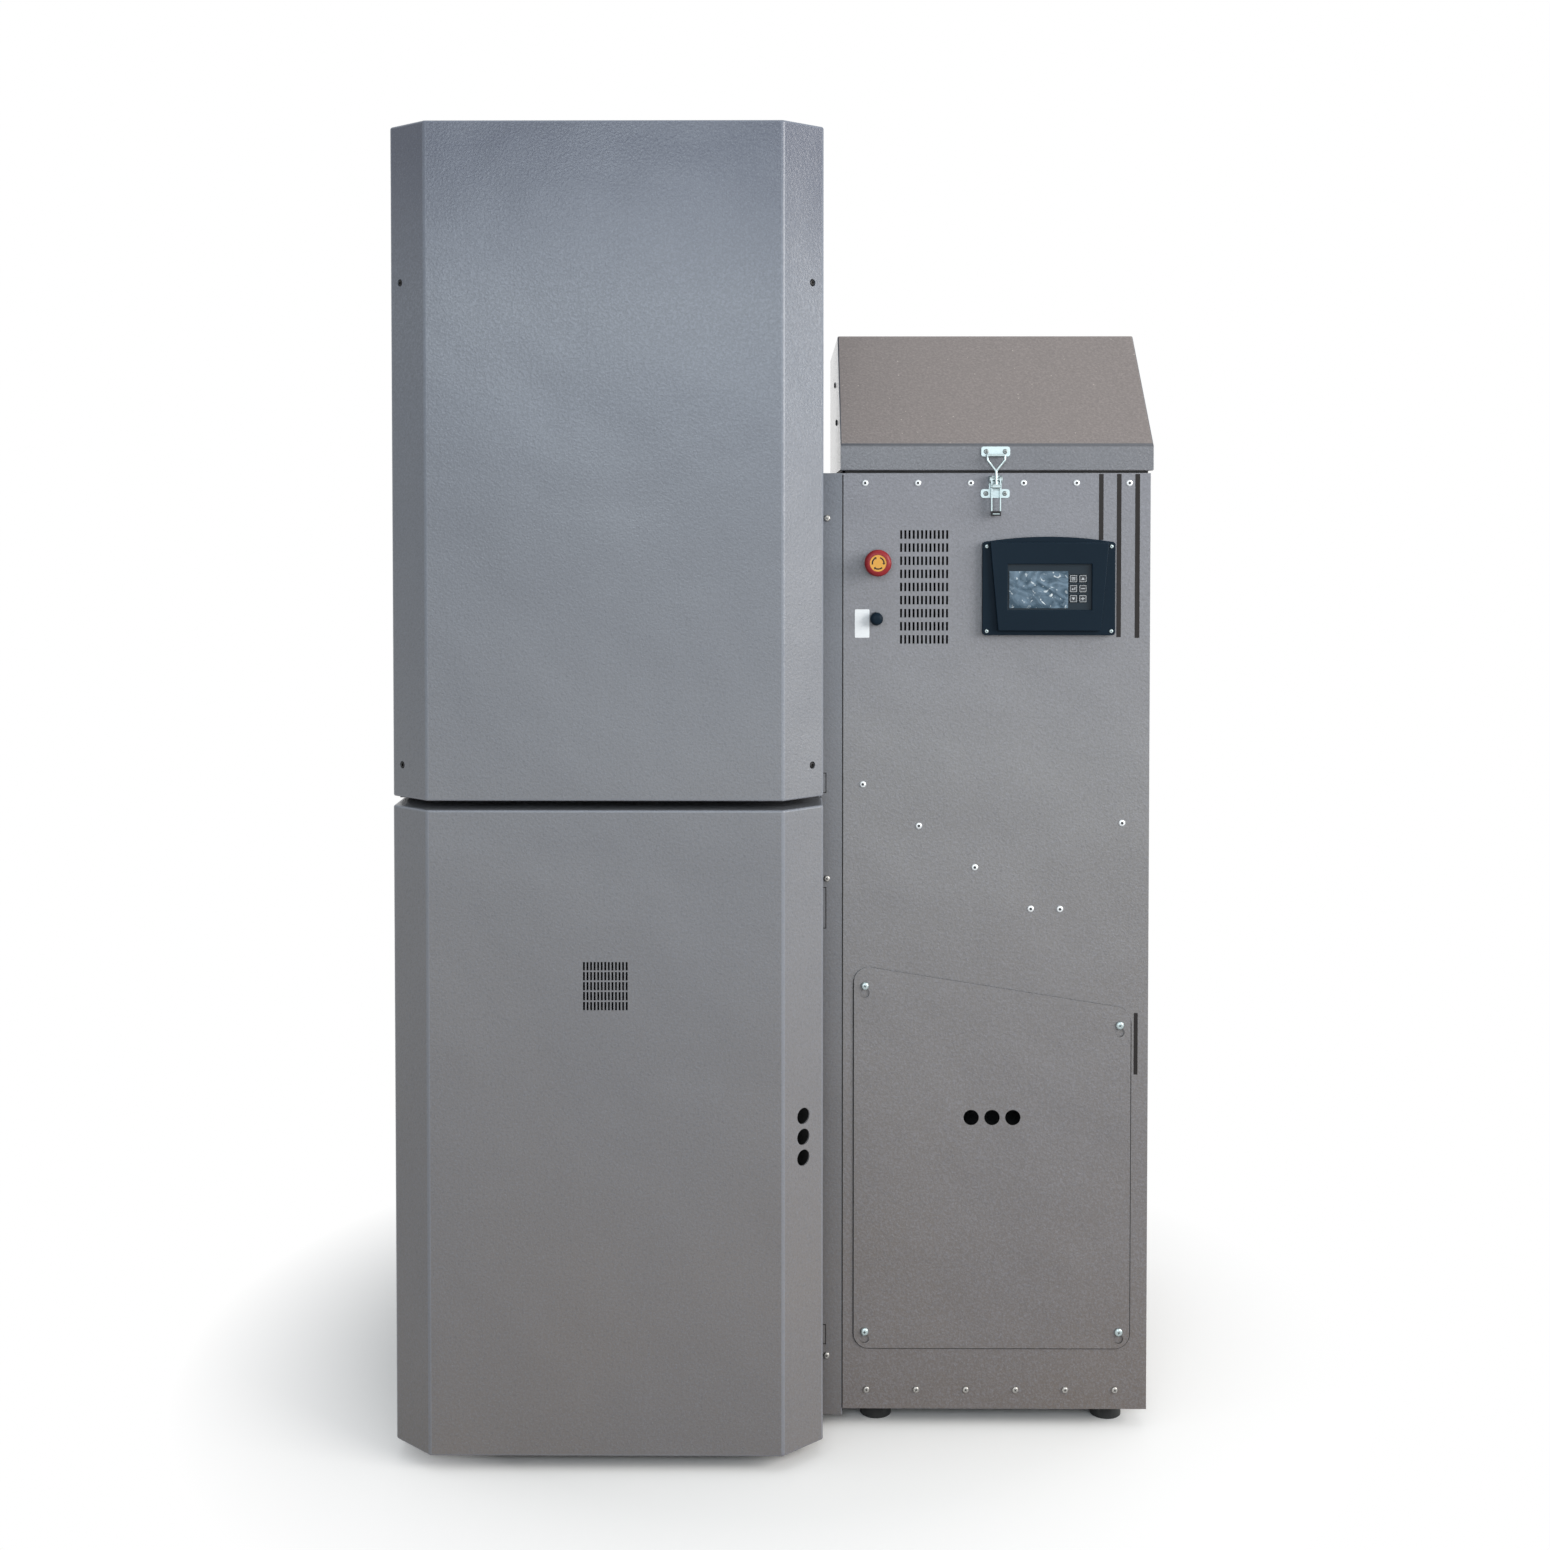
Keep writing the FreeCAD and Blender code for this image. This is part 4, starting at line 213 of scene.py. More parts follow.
softbox("right_light", (3.1, -2.1, 1.95), (0.3, -0.35, 1.2), (2.0, 1.8), 98, (1.0, 0.97, 0.93))
softbox("window_light", (3.3, -0.95, 1.12), (0.25, -0.4, 1.1), (1.3, 1.15), 11, (1.0, 0.98, 0.95))
softbox("front_light", (0.4, -4.4, 1.5), (0.2, -0.4, 1.1), (3.4, 3.0), 27, (0.88, 0.95, 1.0))
softbox("sheen_light", (-0.2, -3.5, 1.87), (0.0, -0.43, 1.4), (1.2, 0.36), 14, (0.82, 0.93, 1.0))
softbox("top_light", (0.2, -0.6, 4.2), (0.2, -0.3, 0.0), (3.0, 3.0), 12, (0.95, 0.98, 1.0))

# %% [markdown]
# ## Floor
# The floor takes the shadow and runs into the white without a line. A shadow catcher could do that. One
# sheet is simpler: pale near the boiler, white light further out, and brown for the rays that carry
# light, which warms the lower sheets.

# %% floor sheet
FLOOR_HALF = 9.0
FLOOR_DROP = 0.4 * MM
FLOOR_MIDDLE = 0.2


def new_object(bm, name):
    """An object from a mesh in the making, which is let go."""
    mesh = bpy.data.meshes.new(name)
    bm.to_mesh(mesh)
    bm.free()
    return put(name, mesh)


bm = bmesh.new()
bmesh.ops.create_grid(bm, x_segments=1, y_segments=1, size=FLOOR_HALF)
bmesh.ops.translate(bm, verts=bm.verts, vec=(FLOOR_MIDDLE, 0, -FLOOR_DROP))
floor = new_object(bm, "floor")
print("floor", 2 * FLOOR_HALF, "m wide")

# %% floor paint
FADE_CENTRE = (FLOOR_MIDDLE, -0.05, 0.0)
FADE_NEAR = 0.48
FADE_FAR = 0.82
FLOOR_SEEN = (0.97, 0.965, 0.96)
FLOOR_BOUNCE = (0.22, 0.17, 0.14)
floor_paint = bpy.data.materials.new("floor_paint")
tree = blank_tree(floor_paint)
offset = add(tree, "VectorMath", add(tree, "TexCoord").outputs["Object"], FADE_CENTRE)
offset.operation = "SUBTRACT"
reach = add(tree, "VectorMath", offset.outputs["Vector"])
reach.operation = "LENGTH"
seen = sees_backdrop(tree)
far = spread(tree, reach.outputs["Value"], FADE_NEAR, FADE_FAR)
matt = add(tree, "BsdfDiffuse", Color=mixed(tree, seen, FLOOR_BOUNCE, FLOOR_SEEN)).outputs[0]
white = add(tree, "Emission", Color=WHITE, Strength=1.0).outputs[0]
surface = add(tree, "MixShader", combined(tree, "MULTIPLY", far, seen), matt, white).outputs[0]
add(tree, "OutputMaterial", Surface=surface)
floor.data.materials.append(floor_paint)
print("floor turns white from", FADE_NEAR, "to", FADE_FAR, "m")

# %% [markdown]
# ## Powder coat
# The outer sheets carry a hammered grey coat, dusty on the lid, with painted light in its tones:
# bluer near the top and browner and darker near the floor as a painted fall of light, painted shade
# along the top rim, painted glints in the grain near the sheen, and folds paler from wear and a
# painted highlight. A picture could be wrapped round them. Noise needs no seams, and one recipe serves
# all. On large sheets the roughness stays above 0.275: below that the denoiser takes a skin for a
# mirror, and the border shows.


# %% a new finish
BY_SLOT = {}


def new_finish(name):
    """A material with an empty main shader, and the place of each point on the part."""
    material = bpy.data.materials.new(name)
    BY_SLOT[name] = material
    tree = blank_tree(material)
    shader = add(tree, "BsdfPrincipled")
    add(tree, "OutputMaterial", Surface=shader.outputs["BSDF"])
    place = add(tree, "TexCoord").outputs["Object"]
    return material, tree, shader, place


# %% powder coat
PAINTED_LIGHT_HEIGHTS = (0.0, 0.85, 1.3)
SHEEN_HEIGHTS = (1.15, 1.42)
TOP_SHADE_HEIGHTS = (1.42, 1.61)
TOP_SHADE_TONE = (0.09, 0.104, 0.145)
CUT_SHADE_TONE = (0.012, 0.012, 0.013)
DUST_TONE = (0.62, 0.56, 0.5)
CLOUDS = 1.6
WAVES = 5.0
GRIT = 150.0
HAMMER = 310.0
PITS = 340.0
FLECKS = 520.0


def dust_specks(tree, place, strength):
    """Round specks of many sizes in some cells of a Voronoi pattern."""
    grit = add(tree, "TexVoronoi", Vector=place, Scale=GRIT)
    lot = add(tree, "SeparateColor", Color=grit.outputs["Color"]).outputs["Red"]
    size = spread(tree, lot, 0.75, 1.0, 0.01, 0.2)
    return spread(tree, grit.outputs["Distance"], 0.0, size, strength, 0.0)


def powder_coat(name, tones, glint_mottle=(0.1, 0.1), dust=0.0, relief=0.22, rough=(0.28, 0.34)):
    """Hammered coat with dust specks; painted light: tones by height, glints low to high, shaded top rim.
    """
    low, middle, cool = tones
    material, tree, shader, place = new_finish(name)
    height = add(tree, "SeparateXYZ", Vector=place).outputs["Z"]
    # The three tones by height are painted light: darker and warmer low, bluer high, as the light falls.
    tone = mixed(tree, spread(tree, height, *PAINTED_LIGHT_HEIGHTS[:2]), low, middle)
    tone = mixed(tree, spread(tree, height, *PAINTED_LIGHT_HEIGHTS[1:]), tone, cool)
    cloud = noise(tree, place, CLOUDS, 4.0, 0.6)
    tone = mixed(tree, spread(tree, cloud, 0.35, 0.7, 0.0, 0.3), tone, shade(cool, 0.86))
    hammer = noise(tree, place, HAMMER, 2.0, 0.5)
    # Lighter mottles on the hammer grain in the sheen band are painted glints.
    painted_glint = spread(tree, hammer, 0.45, 0.65, 0.0, spread(tree, height, *SHEEN_HEIGHTS, *glint_mottle))
    tone = mixed(tree, painted_glint, tone, shade(cool, 1.7))
    # A darker, bluer band near the top rim is painted shade.
    tone = mixed(tree, spread(tree, height, *TOP_SHADE_HEIGHTS), tone, TOP_SHADE_TONE)
    fleck = noise(tree, place, FLECKS, 1.0)
    tone = mixed(tree, spread(tree, fleck, 0.5, 0.8, 0.0, 0.35), tone, shade(cool, 1.45))
    pit = noise(tree, place, PITS, 1.0, 0.3)
    tone = mixed(tree, spread(tree, pit, 0.52, 0.75, 0.0, 0.3), tone, shade(cool, 0.62))
    if dust:
        tone = mixed(tree, dust_specks(tree, place, dust), tone, DUST_TONE)
    # Marked bevels are paler: partly wear, partly a painted highlight on folds and rims.
    tone = mixed(tree, marked(tree, "worn", 0.32), tone, shade(cool, 1.8))
    # Marked cut walls and recesses are painted dark as shade.
    tone = mixed(tree, marked(tree, "recess", 0.9), tone, CUT_SHADE_TONE)
    slow = bumped(tree, noise(tree, place, WAVES, 2.0), 0.9 * relief, 30 * MM)
    fine = bumped(tree, hammer, relief, 1.6 * MM, Normal=slow)
    matt = spread(tree, cloud, 0.3, 0.7, *rough)
    feed(tree, shader, Base_Color=tone, Roughness=matt, Normal=fine, Specular_IOR_Level=0.5)
    return material


# %% the coats
# Each coat's tones at the three heights paint the fall of light from above onto the sheets.
BOILER_TONES = ((0.18, 0.16, 0.148), (0.2, 0.208, 0.226), (0.156, 0.175, 0.211))
CABINET_TONES = ((0.149, 0.124, 0.107), (0.222, 0.224, 0.23), (0.19, 0.199, 0.231))
# The strip is the boiler's coat made darker as painted shade.
STRIP_TONES = [shade(tone, 0.86) for tone in BOILER_TONES]
# The lid's slope and lip tones are painted light on one coat; the bend's dark tone is a painted shadow.
SLOPE_TONES = ((0.178, 0.155, 0.149),) * 3
LIP_TONES = ((0.152, 0.16, 0.18),) * 3
FOLD_SHADOW_TONES = ((0.07, 0.074, 0.085),) * 3
coat = powder_coat("grey_powder_coat", BOILER_TONES, (0.08, 0.36))
strip_coat = powder_coat("strip_powder_coat", STRIP_TONES)
cabinet_coat = powder_coat("cabinet_powder_coat", CABINET_TONES, (0.16, 0.24), relief=0.34)
lid_coat = powder_coat("lid_powder_coat", SLOPE_TONES, (0.3, 0.3), dust=0.8)
lip_coat = powder_coat("lid_lip_coat", LIP_TONES, (0.24, 0.24), relief=0.42)
fold_shadow_coat = powder_coat("lid_bend_coat", FOLD_SHADOW_TONES)
side_coat = powder_coat("lid_side_coat", BOILER_TONES, relief=0.04, rough=(0.08, 0.12))
print(len(bpy.data.materials), "materials so far")

# %% [markdown]
# ## Metals
# Latch, rivets and screws are zinc or aluminium, the pipe ends bare steel, the motor cast, the bin
# galvanised. One fixed roughness would look like plastic. Fine noise in roughness and bump gives each
# its grain, and Voronoi cells make the zinc flowers.


# %% metals
def metal(name, colour, dull, bright, scale=420.0, stretch=(1.0, 1.0, 1.0), relief=0.05):
    """Bare or plated metal; stretch draws the grain out into brush lines."""
    material, tree, shader, place = new_finish(name)
    drawn = add(tree, "Mapping", Vector=place, Scale=stretch).outputs["Vector"]
    lines = noise(tree, drawn, scale, 3.0)
    stain = noise(tree, place, 9.0, 3.0, 0.8)
    tone = mixed(tree, spread(tree, stain, 0.35, 0.7, 0.0, 0.5), colour, shade(colour, 0.86))
    # Marked recesses are painted dark as shade.
    tone = mixed(tree, marked(tree, "recess", 0.93), tone, (0.02, 0.02, 0.022))
    rough = spread(tree, lines, 0.3, 0.7, bright, dull)
    grain = bumped(tree, lines, relief, 0.4 * MM)
    feed(tree, shader, Base_Color=tone, Metallic=1.0, Roughness=rough, Normal=grain)
    return material


zinc = metal("zinc_plated_steel", (0.44, 0.52, 0.53), 0.42, 0.3, relief=0.06)
rivet_metal = metal("rivet_aluminium", (0.72, 0.75, 0.77), 0.6, 0.45)
dark_steel = metal("dark_steel", (0.2, 0.22, 0.22), 0.42, 0.3)
screw_zinc = metal("screw_zinc", (0.42, 0.41, 0.39), 0.42, 0.3)
raw_steel = metal("raw_steel", (0.4, 0.39, 0.385), 0.55, 0.35, 160.0, (1.0, 1.0, 0.06), 0.25)
aluminium = metal("cast_aluminium", (0.56, 0.57, 0.58), 0.6, 0.45, relief=0.5)


# %% galvanised sheet
def galvanised(name):
    """Zinc flowers: cells of lighter and darker metal over a slight ripple."""
    material, tree, shader, place = new_finish(name)
    cells = add(tree, "TexVoronoi", Vector=place, Scale=55.0)
    flower = add(tree, "SeparateColor", Color=cells.outputs["Color"]).outputs["Red"]
    tone = mixed(tree, flower, (0.46, 0.48, 0.5), (0.66, 0.68, 0.7))
    rough = spread(tree, flower, 0.0, 1.0, 0.3, 0.5)
    ripple = bumped(tree, noise(tree, place, 70.0, 2.0), 0.15, 0.8 * MM)
    feed(tree, shader, Base_Color=tone, Metallic=0.9, Roughness=rough, Normal=ripple)
    return material


galvanised_sheet = galvanised("galvanised_sheet")
print(len(bpy.data.materials), "materials so far")

# %% [markdown]
# ## Plastics, rubber and paints
# The bezel, keys, cap and stop button are moulded, the frames painted, the stripes vinyl. Each could
# have its own tree. They differ only in colour, gloss and grain, so one recipe makes them all.


# %% plastics, rubber and paints
def moulded(name, colour, rough, grain, relief=0.2, spot=1.35, metallic=0.0, shine=0.5):
    """Moulded or painted skin with a fine grain and slow change of tone."""
    material, tree, shader, place = new_finish(name)
    slow = noise(tree, place, 14.0, 3.0)
    fine = noise(tree, place, grain, 2.0)
    tone = mixed(tree, spread(tree, slow, 0.3, 0.7, 0.0, 0.5), colour, shade(colour, 0.78))
    tone = mixed(tree, spread(tree, fine, 0.55, 0.8, 0.0, 0.4), tone, shade(colour, spot))
    # Marked recesses are painted near black as shade.
    tone = mixed(tree, marked(tree, "recess", 0.9), tone, (0.004, 0.004, 0.004))
    # Marked edges are lighter: partly wear, partly a painted highlight.
    tone = mixed(tree, marked(tree, "worn", 0.25), tone, shade(colour, 2.4))
    matt = spread(tree, slow, 0.3, 0.7, rough - 0.06, rough + 0.06)
    skin = bumped(tree, fine, relief, 0.5 * MM)
    feed(tree, shader, Base_Color=tone, Metallic=metallic, Roughness=matt, Normal=skin)
    feed(tree, shader, Specular_IOR_Level=shine)
    return material


black_plastic = moulded("black_plastic", (0.007, 0.016, 0.027), 0.42, 900.0, shine=0.07)
window_plastic = moulded("window_plastic", (0.016, 0.027, 0.038), 0.34, 900.0, shine=0.16)
key_plastic = moulded("key_plastic", (0.02, 0.025, 0.032), 0.4, 700.0)
key_print = moulded("key_print", (0.5, 0.54, 0.57), 0.5, 500.0)
stop_red = moulded("stop_red", (0.27, 0.014, 0.019), 0.34, 420.0, shine=0.3)
stop_yellow = moulded("stop_yellow", (0.72, 0.36, 0.045), 0.42, 420.0, spot=1.1)
moulded("stop_stem_plastic", (0.02, 0.02, 0.02), 0.4, 500.0)
rubber = moulded("seal_rubber", (0.016, 0.016, 0.017), 0.75, 900.0, relief=0.6)
black_paint = moulded("black_coated_steel", (0.02, 0.021, 0.022), 0.55, 500.0, relief=0.35)
black_screw = moulded("black_screw", (0.015, 0.015, 0.016), 0.4, 500.0, metallic=0.6)
vinyl = moulded("black_vinyl", (0.02, 0.018, 0.018), 0.55, 300.0, shine=0.2)
paper = moulded("label_paper", (0.84, 0.88, 0.91), 0.6, 300.0, spot=1.03)
# Near black for the bay wall behind the vents: painted shade.
bay_shade = moulded("bay_felt", (0.01, 0.01, 0.011), 0.9, 700.0, relief=0.8, shine=0.1)
print(len(bpy.data.materials), "materials so far")

# %% [markdown]
# ## Film over the display
# The display is dark behind a creased film with glints. A clear sheet that refracts would need many
# samples. An opaque tone reads the same: milky creases as a painted sheen and bright ridges as painted
# glints, over creases that are modelled further below.


# %% film over the display
def film(name):
    """A dark screen behind a creased protective film, with its sheen and glints painted on."""
    material, tree, shader, place = new_finish(name)
    crease = noise(tree, place, 34.0, 3.0, 2.6)
    ridge = noise(tree, place, 72.0, 3.0, 2.2)
    crease_sheen = spread(tree, crease, 0.35, 0.68)
    tone = mixed(tree, crease_sheen, (0.028, 0.062, 0.095), (0.15, 0.225, 0.3))
    # Bright ridges are painted glints.
    tone = mixed(tree, spread(tree, ridge, 0.62, 0.72, 0.0, 0.9), tone, (0.82, 0.9, 0.94))
    slow = bumped(tree, crease, 0.6, 3 * MM)
    fine = bumped(tree, ridge, 0.4, 1 * MM, Normal=slow)
    feed(tree, shader, Base_Color=tone, Roughness=0.2, Normal=fine, Specular_IOR_Level=0.3)
    return material


display_film = film("display_glass")
print(len(bpy.data.materials), "materials in all")

# %% [markdown]
# ## From CAD node to dressed piece
# Real sheet is never sharp: bends have a radius, cut rims are broken, and both catch the light. A bevel
# modifier would round the small slots too. Here only chosen edges of a copy are bevelled: long bends
# get a radius, other long edges a small break. New strips carry a mark that makes them paler, partly
# as wear and partly as a painted highlight.


# %% copy and soften
def plain_copy(node):
    """A node's mesh with merged points, whole flat faces and empty marks."""
    bm = bmesh.new()
    bm.from_mesh(frame["nodes"][node].data)
    bmesh.ops.remove_doubles(bm, verts=bm.verts, dist=1e-6)
    bmesh.ops.dissolve_limit(bm, angle_limit=math.radians(0.5), verts=bm.verts, edges=bm.edges)
    bm.faces.layers.float.new("worn")
    bm.faces.layers.float.new("recess")
    return bm


def corner_angle(edge):
    """The outer angle of a convex edge, 0 for others."""
    if len(edge.link_faces) != 2 or not edge.is_convex:
        return 0.0
    return edge.calc_face_angle()


def soften(bm, chosen, width, segments, mark=1.0):
    """Bevel the chosen edges and mark the new faces for wear and a painted highlight."""
    edges = [edge for edge in bm.edges if chosen(edge)]
    if edges:
        made = bmesh.ops.bevel(
            bm, geom=edges, offset=width, offset_type="OFFSET", segments=segments,
            profile=0.5, affect="EDGES", clamp_overlap=True,
        )
        worn = bm.faces.layers.float["worn"]
        for face in made["faces"]:
            face[worn] = mark
    return len(edges)


# %% settle a piece on its body
def bake(thing):
    """Replace an object's modifiers by the mesh that they give."""
    graph = bpy.context.evaluated_depsgraph_get()
    mesh = bpy.data.meshes.new_from_object(thing.evaluated_get(graph))
    thing.modifiers.clear()
    mesh.name = thing.name
    thing.data = mesh


def hand_over(thing, body, nodes):
    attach(thing, body)
    if nodes:
        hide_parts(*nodes)


def stands_for(node):
    """Body, slot and nodes of a piece that takes one node's place."""
    return BODY_OF[node], SLOT_OF[node], [node]


def smooth(mesh, crease):
    """Smooth shading that keeps edges sharper than the crease."""
    mesh.polygons.foreach_set("use_smooth", [True] * len(mesh.polygons))
    mesh.set_sharp_from_angle(angle=math.radians(crease))


def settle(bm, name, materials, body, slot, nodes=(), crease=32):
    """Finish a mesh as a piece on a body."""
    thing = new_object(bm, name)
    for material in materials:
        thing.data.materials.append(material)
    smooth(thing.data, crease)
    thing.modifiers.new("weights", "WEIGHTED_NORMAL").keep_sharp = True
    bake(thing)
    hand_over(thing, body, nodes)
    print(name, len(thing.data.polygons), "faces")
    return thing


# %% dress one node
FOLD_LENGTH = 60 * MM
FOLD_FLANK = 7 * MM
SHARP = math.radians(25)


def is_fold(edge):
    """A long outer bend with a broad face on either side."""
    length = edge.calc_length()
    if corner_angle(edge) < SHARP or length <= FOLD_LENGTH:
        return False
    return all(face.calc_area() / length > FOLD_FLANK for face in edge.link_faces)


def sharp_edges(shortest):
    """A test for sharp edges of at least some length."""
    return lambda edge: corner_angle(edge) > SHARP and edge.calc_length() > shortest


def fresh_edges(bm, shortest):
    """A test for sharp edges that no bend has touched."""
    worn = bm.faces.layers.float["worn"]
    sharp = sharp_edges(shortest)
    return lambda edge: sharp(edge) and not any(face[worn] for face in edge.link_faces)


def darken_cuts(bm, left, right, bottom, top):
    """Mark the cut faces inside a window of the front for painted shade."""
    recess = bm.faces.layers.float["recess"]
    for face in bm.faces:
        middle = face.calc_center_median()
        inside = left < middle.x < right and bottom < middle.z < top
        if inside and abs(face.normal.y) < 0.5:
            face[recess] = 1.0


def dress(node, material, fold=0.0, rim=0.0, rim_length=14 * MM, cuts=None):
    """A copy of a node with bent folds and broken rims, and painted shade on cuts inside a window."""
    bm = plain_copy(node)
    if cuts:
        darken_cuts(bm, *cuts)
    if fold:
        soften(bm, is_fold, fold, 4)
    if rim:
        soften(bm, fresh_edges(bm, rim_length), rim, 2, 0.6)
    return settle(bm, f"{node}_skin", [material], *stands_for(node))


# %% [markdown]
# ## Coated sheet
# Covers, door, jacket and cabinet are folded from sheet. Subdivision would round them all over, and
# flat boxes would look like card. A radius on the folds, a broken rim and painted shade on the walls
# inside the grille, vents and keyholes make them read as sheet.

# %% sheet pieces
COVER_BEND = 2.6 * MM
PANEL_BEND = 1.4 * MM
RIM = 0.45 * MM
FINE_RIM = 0.3 * MM
GRILLE = (-30 * MM, 30 * MM, 560 * MM, 635 * MM)
VENTS = (360 * MM, 430 * MM, 1000 * MM, 1155 * MM)
KEYHOLES = (312 * MM, 652 * MM, 110 * MM, 590 * MM)
dress("upper_front_cover", coat, COVER_BEND, RIM)
dress("lower_front_door", coat, COVER_BEND, RIM, cuts=GRILLE)
for side in ("left", "right", "top", "back"):
    dress(f"jacket_{side}_panel", coat, PANEL_BEND, RIM)
for side in ("left", "right", "back"):
    dress(f"cabinet_{side}_panel", cabinet_coat, PANEL_BEND, RIM)
dress("joining_strip", strip_coat, PANEL_BEND, RIM)
dress("cabinet_front_panel", cabinet_coat, PANEL_BEND, FINE_RIM, cuts=VENTS)
dress("access_cover", cabinet_coat, 0.0, 0.4 * MM, 8 * MM, cuts=KEYHOLES)

# %% [markdown]
# ## Lid
# The lid is one hood, but its slope is brown and dusty and held dark as painted shade against the
# light from above, its lip cooler and darker as painted shade, the bend between a painted shadow, and
# its sides mirror the backdrop. Four objects would leave seams. One mesh with four materials, chosen by
# the way each face looks, keeps it whole.

# %% the lid's four finishes
LID_BEND = 2.2 * MM
SLOPE, SIDE, FOLD_SHADOW = 1, 2, 3
lid = dress("bin_lid", lip_coat, LID_BEND, RIM)
for material in (lid_coat, side_coat, fold_shadow_coat):
    lid.data.materials.append(material)
leaning = [face for face in lid.data.polygons if face.normal.y < -0.2 and face.normal.z > 0.2]
slope_rise = max(leaning, key=lambda face: face.area).normal.z
for face in lid.data.polygons:
    if abs(face.normal.x) > 0.9:
        face.material_index = SIDE
    elif face.normal.z > slope_rise - 0.05:
        face.material_index = SLOPE
    elif face.normal.z > 0.05 and face.normal.y < -0.5:
        face.material_index = FOLD_SHADOW
print("the slope leans", round(math.degrees(math.acos(slope_rise))), "degrees")

# %% [markdown]
# ## Fasteners
# Rivets and screws hold every panel. Modelled one by one they would differ, and copied by hand they
# would all stand alike. A head is turned once from an outline, and a node tree sets it on every seat,
# faces it outwards and spins it at random.


# %% turned shapes
def polar(radius, angle):
    """A point at an angle in degrees."""
    turn = math.radians(angle)
    return radius * math.cos(turn), radius * math.sin(turn)


def arc(radius, begin, end, steps):
    """Points from one angle to another."""
    return [polar(radius, begin + (end - begin) * step / steps) for step in range(steps + 1)]


def ring_points(radius, count):
    return arc(radius, 0, 360, count)[:-1]


def turned(bm, profile, steps):
    """Rings of a turned shape from (radius, height) pairs in millimetres; radius 0 gives a point."""
    rings = []
    for radius, height in profile:
        spots = ring_points(radius, steps if radius else 1)
        rings.append([bm.verts.new(Vector((*spot, height)) * MM) for spot in spots])
    for lower, upper in zip(rings, rings[1:]):
        for step in range(steps):
            following = (step + 1) % steps
            corners = [lower[step % len(lower)], lower[following % len(lower)]]
            corners += [upper[following % len(upper)], upper[step % len(upper)]]
            bm.faces.new(list(dict.fromkeys(corners)))
    return rings


def face_outwards(bm):
    bmesh.ops.recalc_face_normals(bm, faces=bm.faces)


def band(bm, near, far):
    """Faces between two closed loops of points."""
    pairs = list(zip(near, far))
    return [bm.faces.new((a, b, d, c)) for (a, b), (c, d) in zip(pairs, pairs[1:] + pairs[:1])]


def cross_points(reach, half):
    """The outline of an upright cross, arm by arm."""
    arm = [(half, half), (half, reach), (-half, reach)]
    spots = []
    for _ in range(4):
        spots += arm
        arm = [(-y, x) for x, y in arm]
    return spots


def head_shape(name, profile, steps, mouth, depth):
    """A fastener's head seated at the origin, with a sunk hole in the mouth's outline for painted shade."""
    bm = bmesh.new()
    recess = bm.faces.layers.float.new("recess")
    rings = turned(bm, profile, steps)
    height = profile[-1][1]
    rim = [bm.verts.new(Vector((x, y, height)) * MM) for x, y in mouth]
    sunk = [bm.verts.new(Vector((x, y, height - depth)) * MM) for x, y in mouth]
    corners = rings[-1] + rim
    for triangle in tessellate_polygon([[vert.co for vert in rings[-1]], [vert.co for vert in rim]]):
        bm.faces.new([corners[index] for index in triangle])
    for face in band(bm, rim, sunk) + [bm.faces.new(sunk)]:
        face[recess] = 1.0
    bm.faces.new(rings[0])
    face_outwards(bm)
    thing = new_object(bm, name)
    smooth(thing.data, 38)
    print(name, len(thing.data.polygons), "faces")
    return thing


# %% the node tree that sets the heads
HEADS_SEED = 7
heads = bpy.data.node_groups.new("heads", "GeometryNodeTree")


def group_socket(name, kind, way="INPUT"):
    """A socket of the tree, by the name that a modifier sets it with."""
    return heads.interface.new_socket(name, in_out=way, socket_type=f"NodeSocket{kind}").identifier


group_socket("Geometry", "Geometry")
SHAPE = group_socket("Shape", "Object")
FINISH = group_socket("Finish", "Material")
SPIN = group_socket("Spin", "Float")
group_socket("Geometry", "Geometry", "OUTPUT")
new_node = heads.nodes.new
given = new_node("NodeGroupInput")
facing = new_node("GeometryNodeInputNamedAttribute")
facing.data_type = "FLOAT_VECTOR"
aim = new_node("FunctionNodeAlignRotationToVector")
aim.axis = "Z"
chance = new_node("FunctionNodeRandomValue")
twist = new_node("FunctionNodeAxisAngleToRotation")
turn = new_node("FunctionNodeRotateRotation")
turn.rotation_space = "LOCAL"
model = new_node("GeometryNodeObjectInfo")
copies = new_node("GeometryNodeInstanceOnPoints")
real = new_node("GeometryNodeRealizeInstances")
paint = new_node("GeometryNodeSetMaterial")
result = new_node("NodeGroupOutput")
feed(heads, facing, Name="facing")
feed(heads, aim, Vector=facing.outputs[0])
feed(heads, chance, Seed=HEADS_SEED)
plug(heads, chance.inputs[3], given.outputs["Spin"])
feed(heads, twist, Angle=chance.outputs[1])
feed(heads, turn, aim.outputs[0], twist.outputs[0])
feed(heads, model, Object=given.outputs["Shape"])
feed(heads, copies, Points=given.outputs["Geometry"], Instance=model.outputs["Geometry"])
feed(heads, copies, Rotation=turn.outputs[0])
feed(heads, real, Geometry=copies.outputs["Instances"])
feed(heads, paint, Geometry=real.outputs["Geometry"], Material=given.outputs["Finish"])
feed(heads, result, Geometry=paint.outputs["Geometry"])
print("tree of", len(heads.nodes), "nodes")


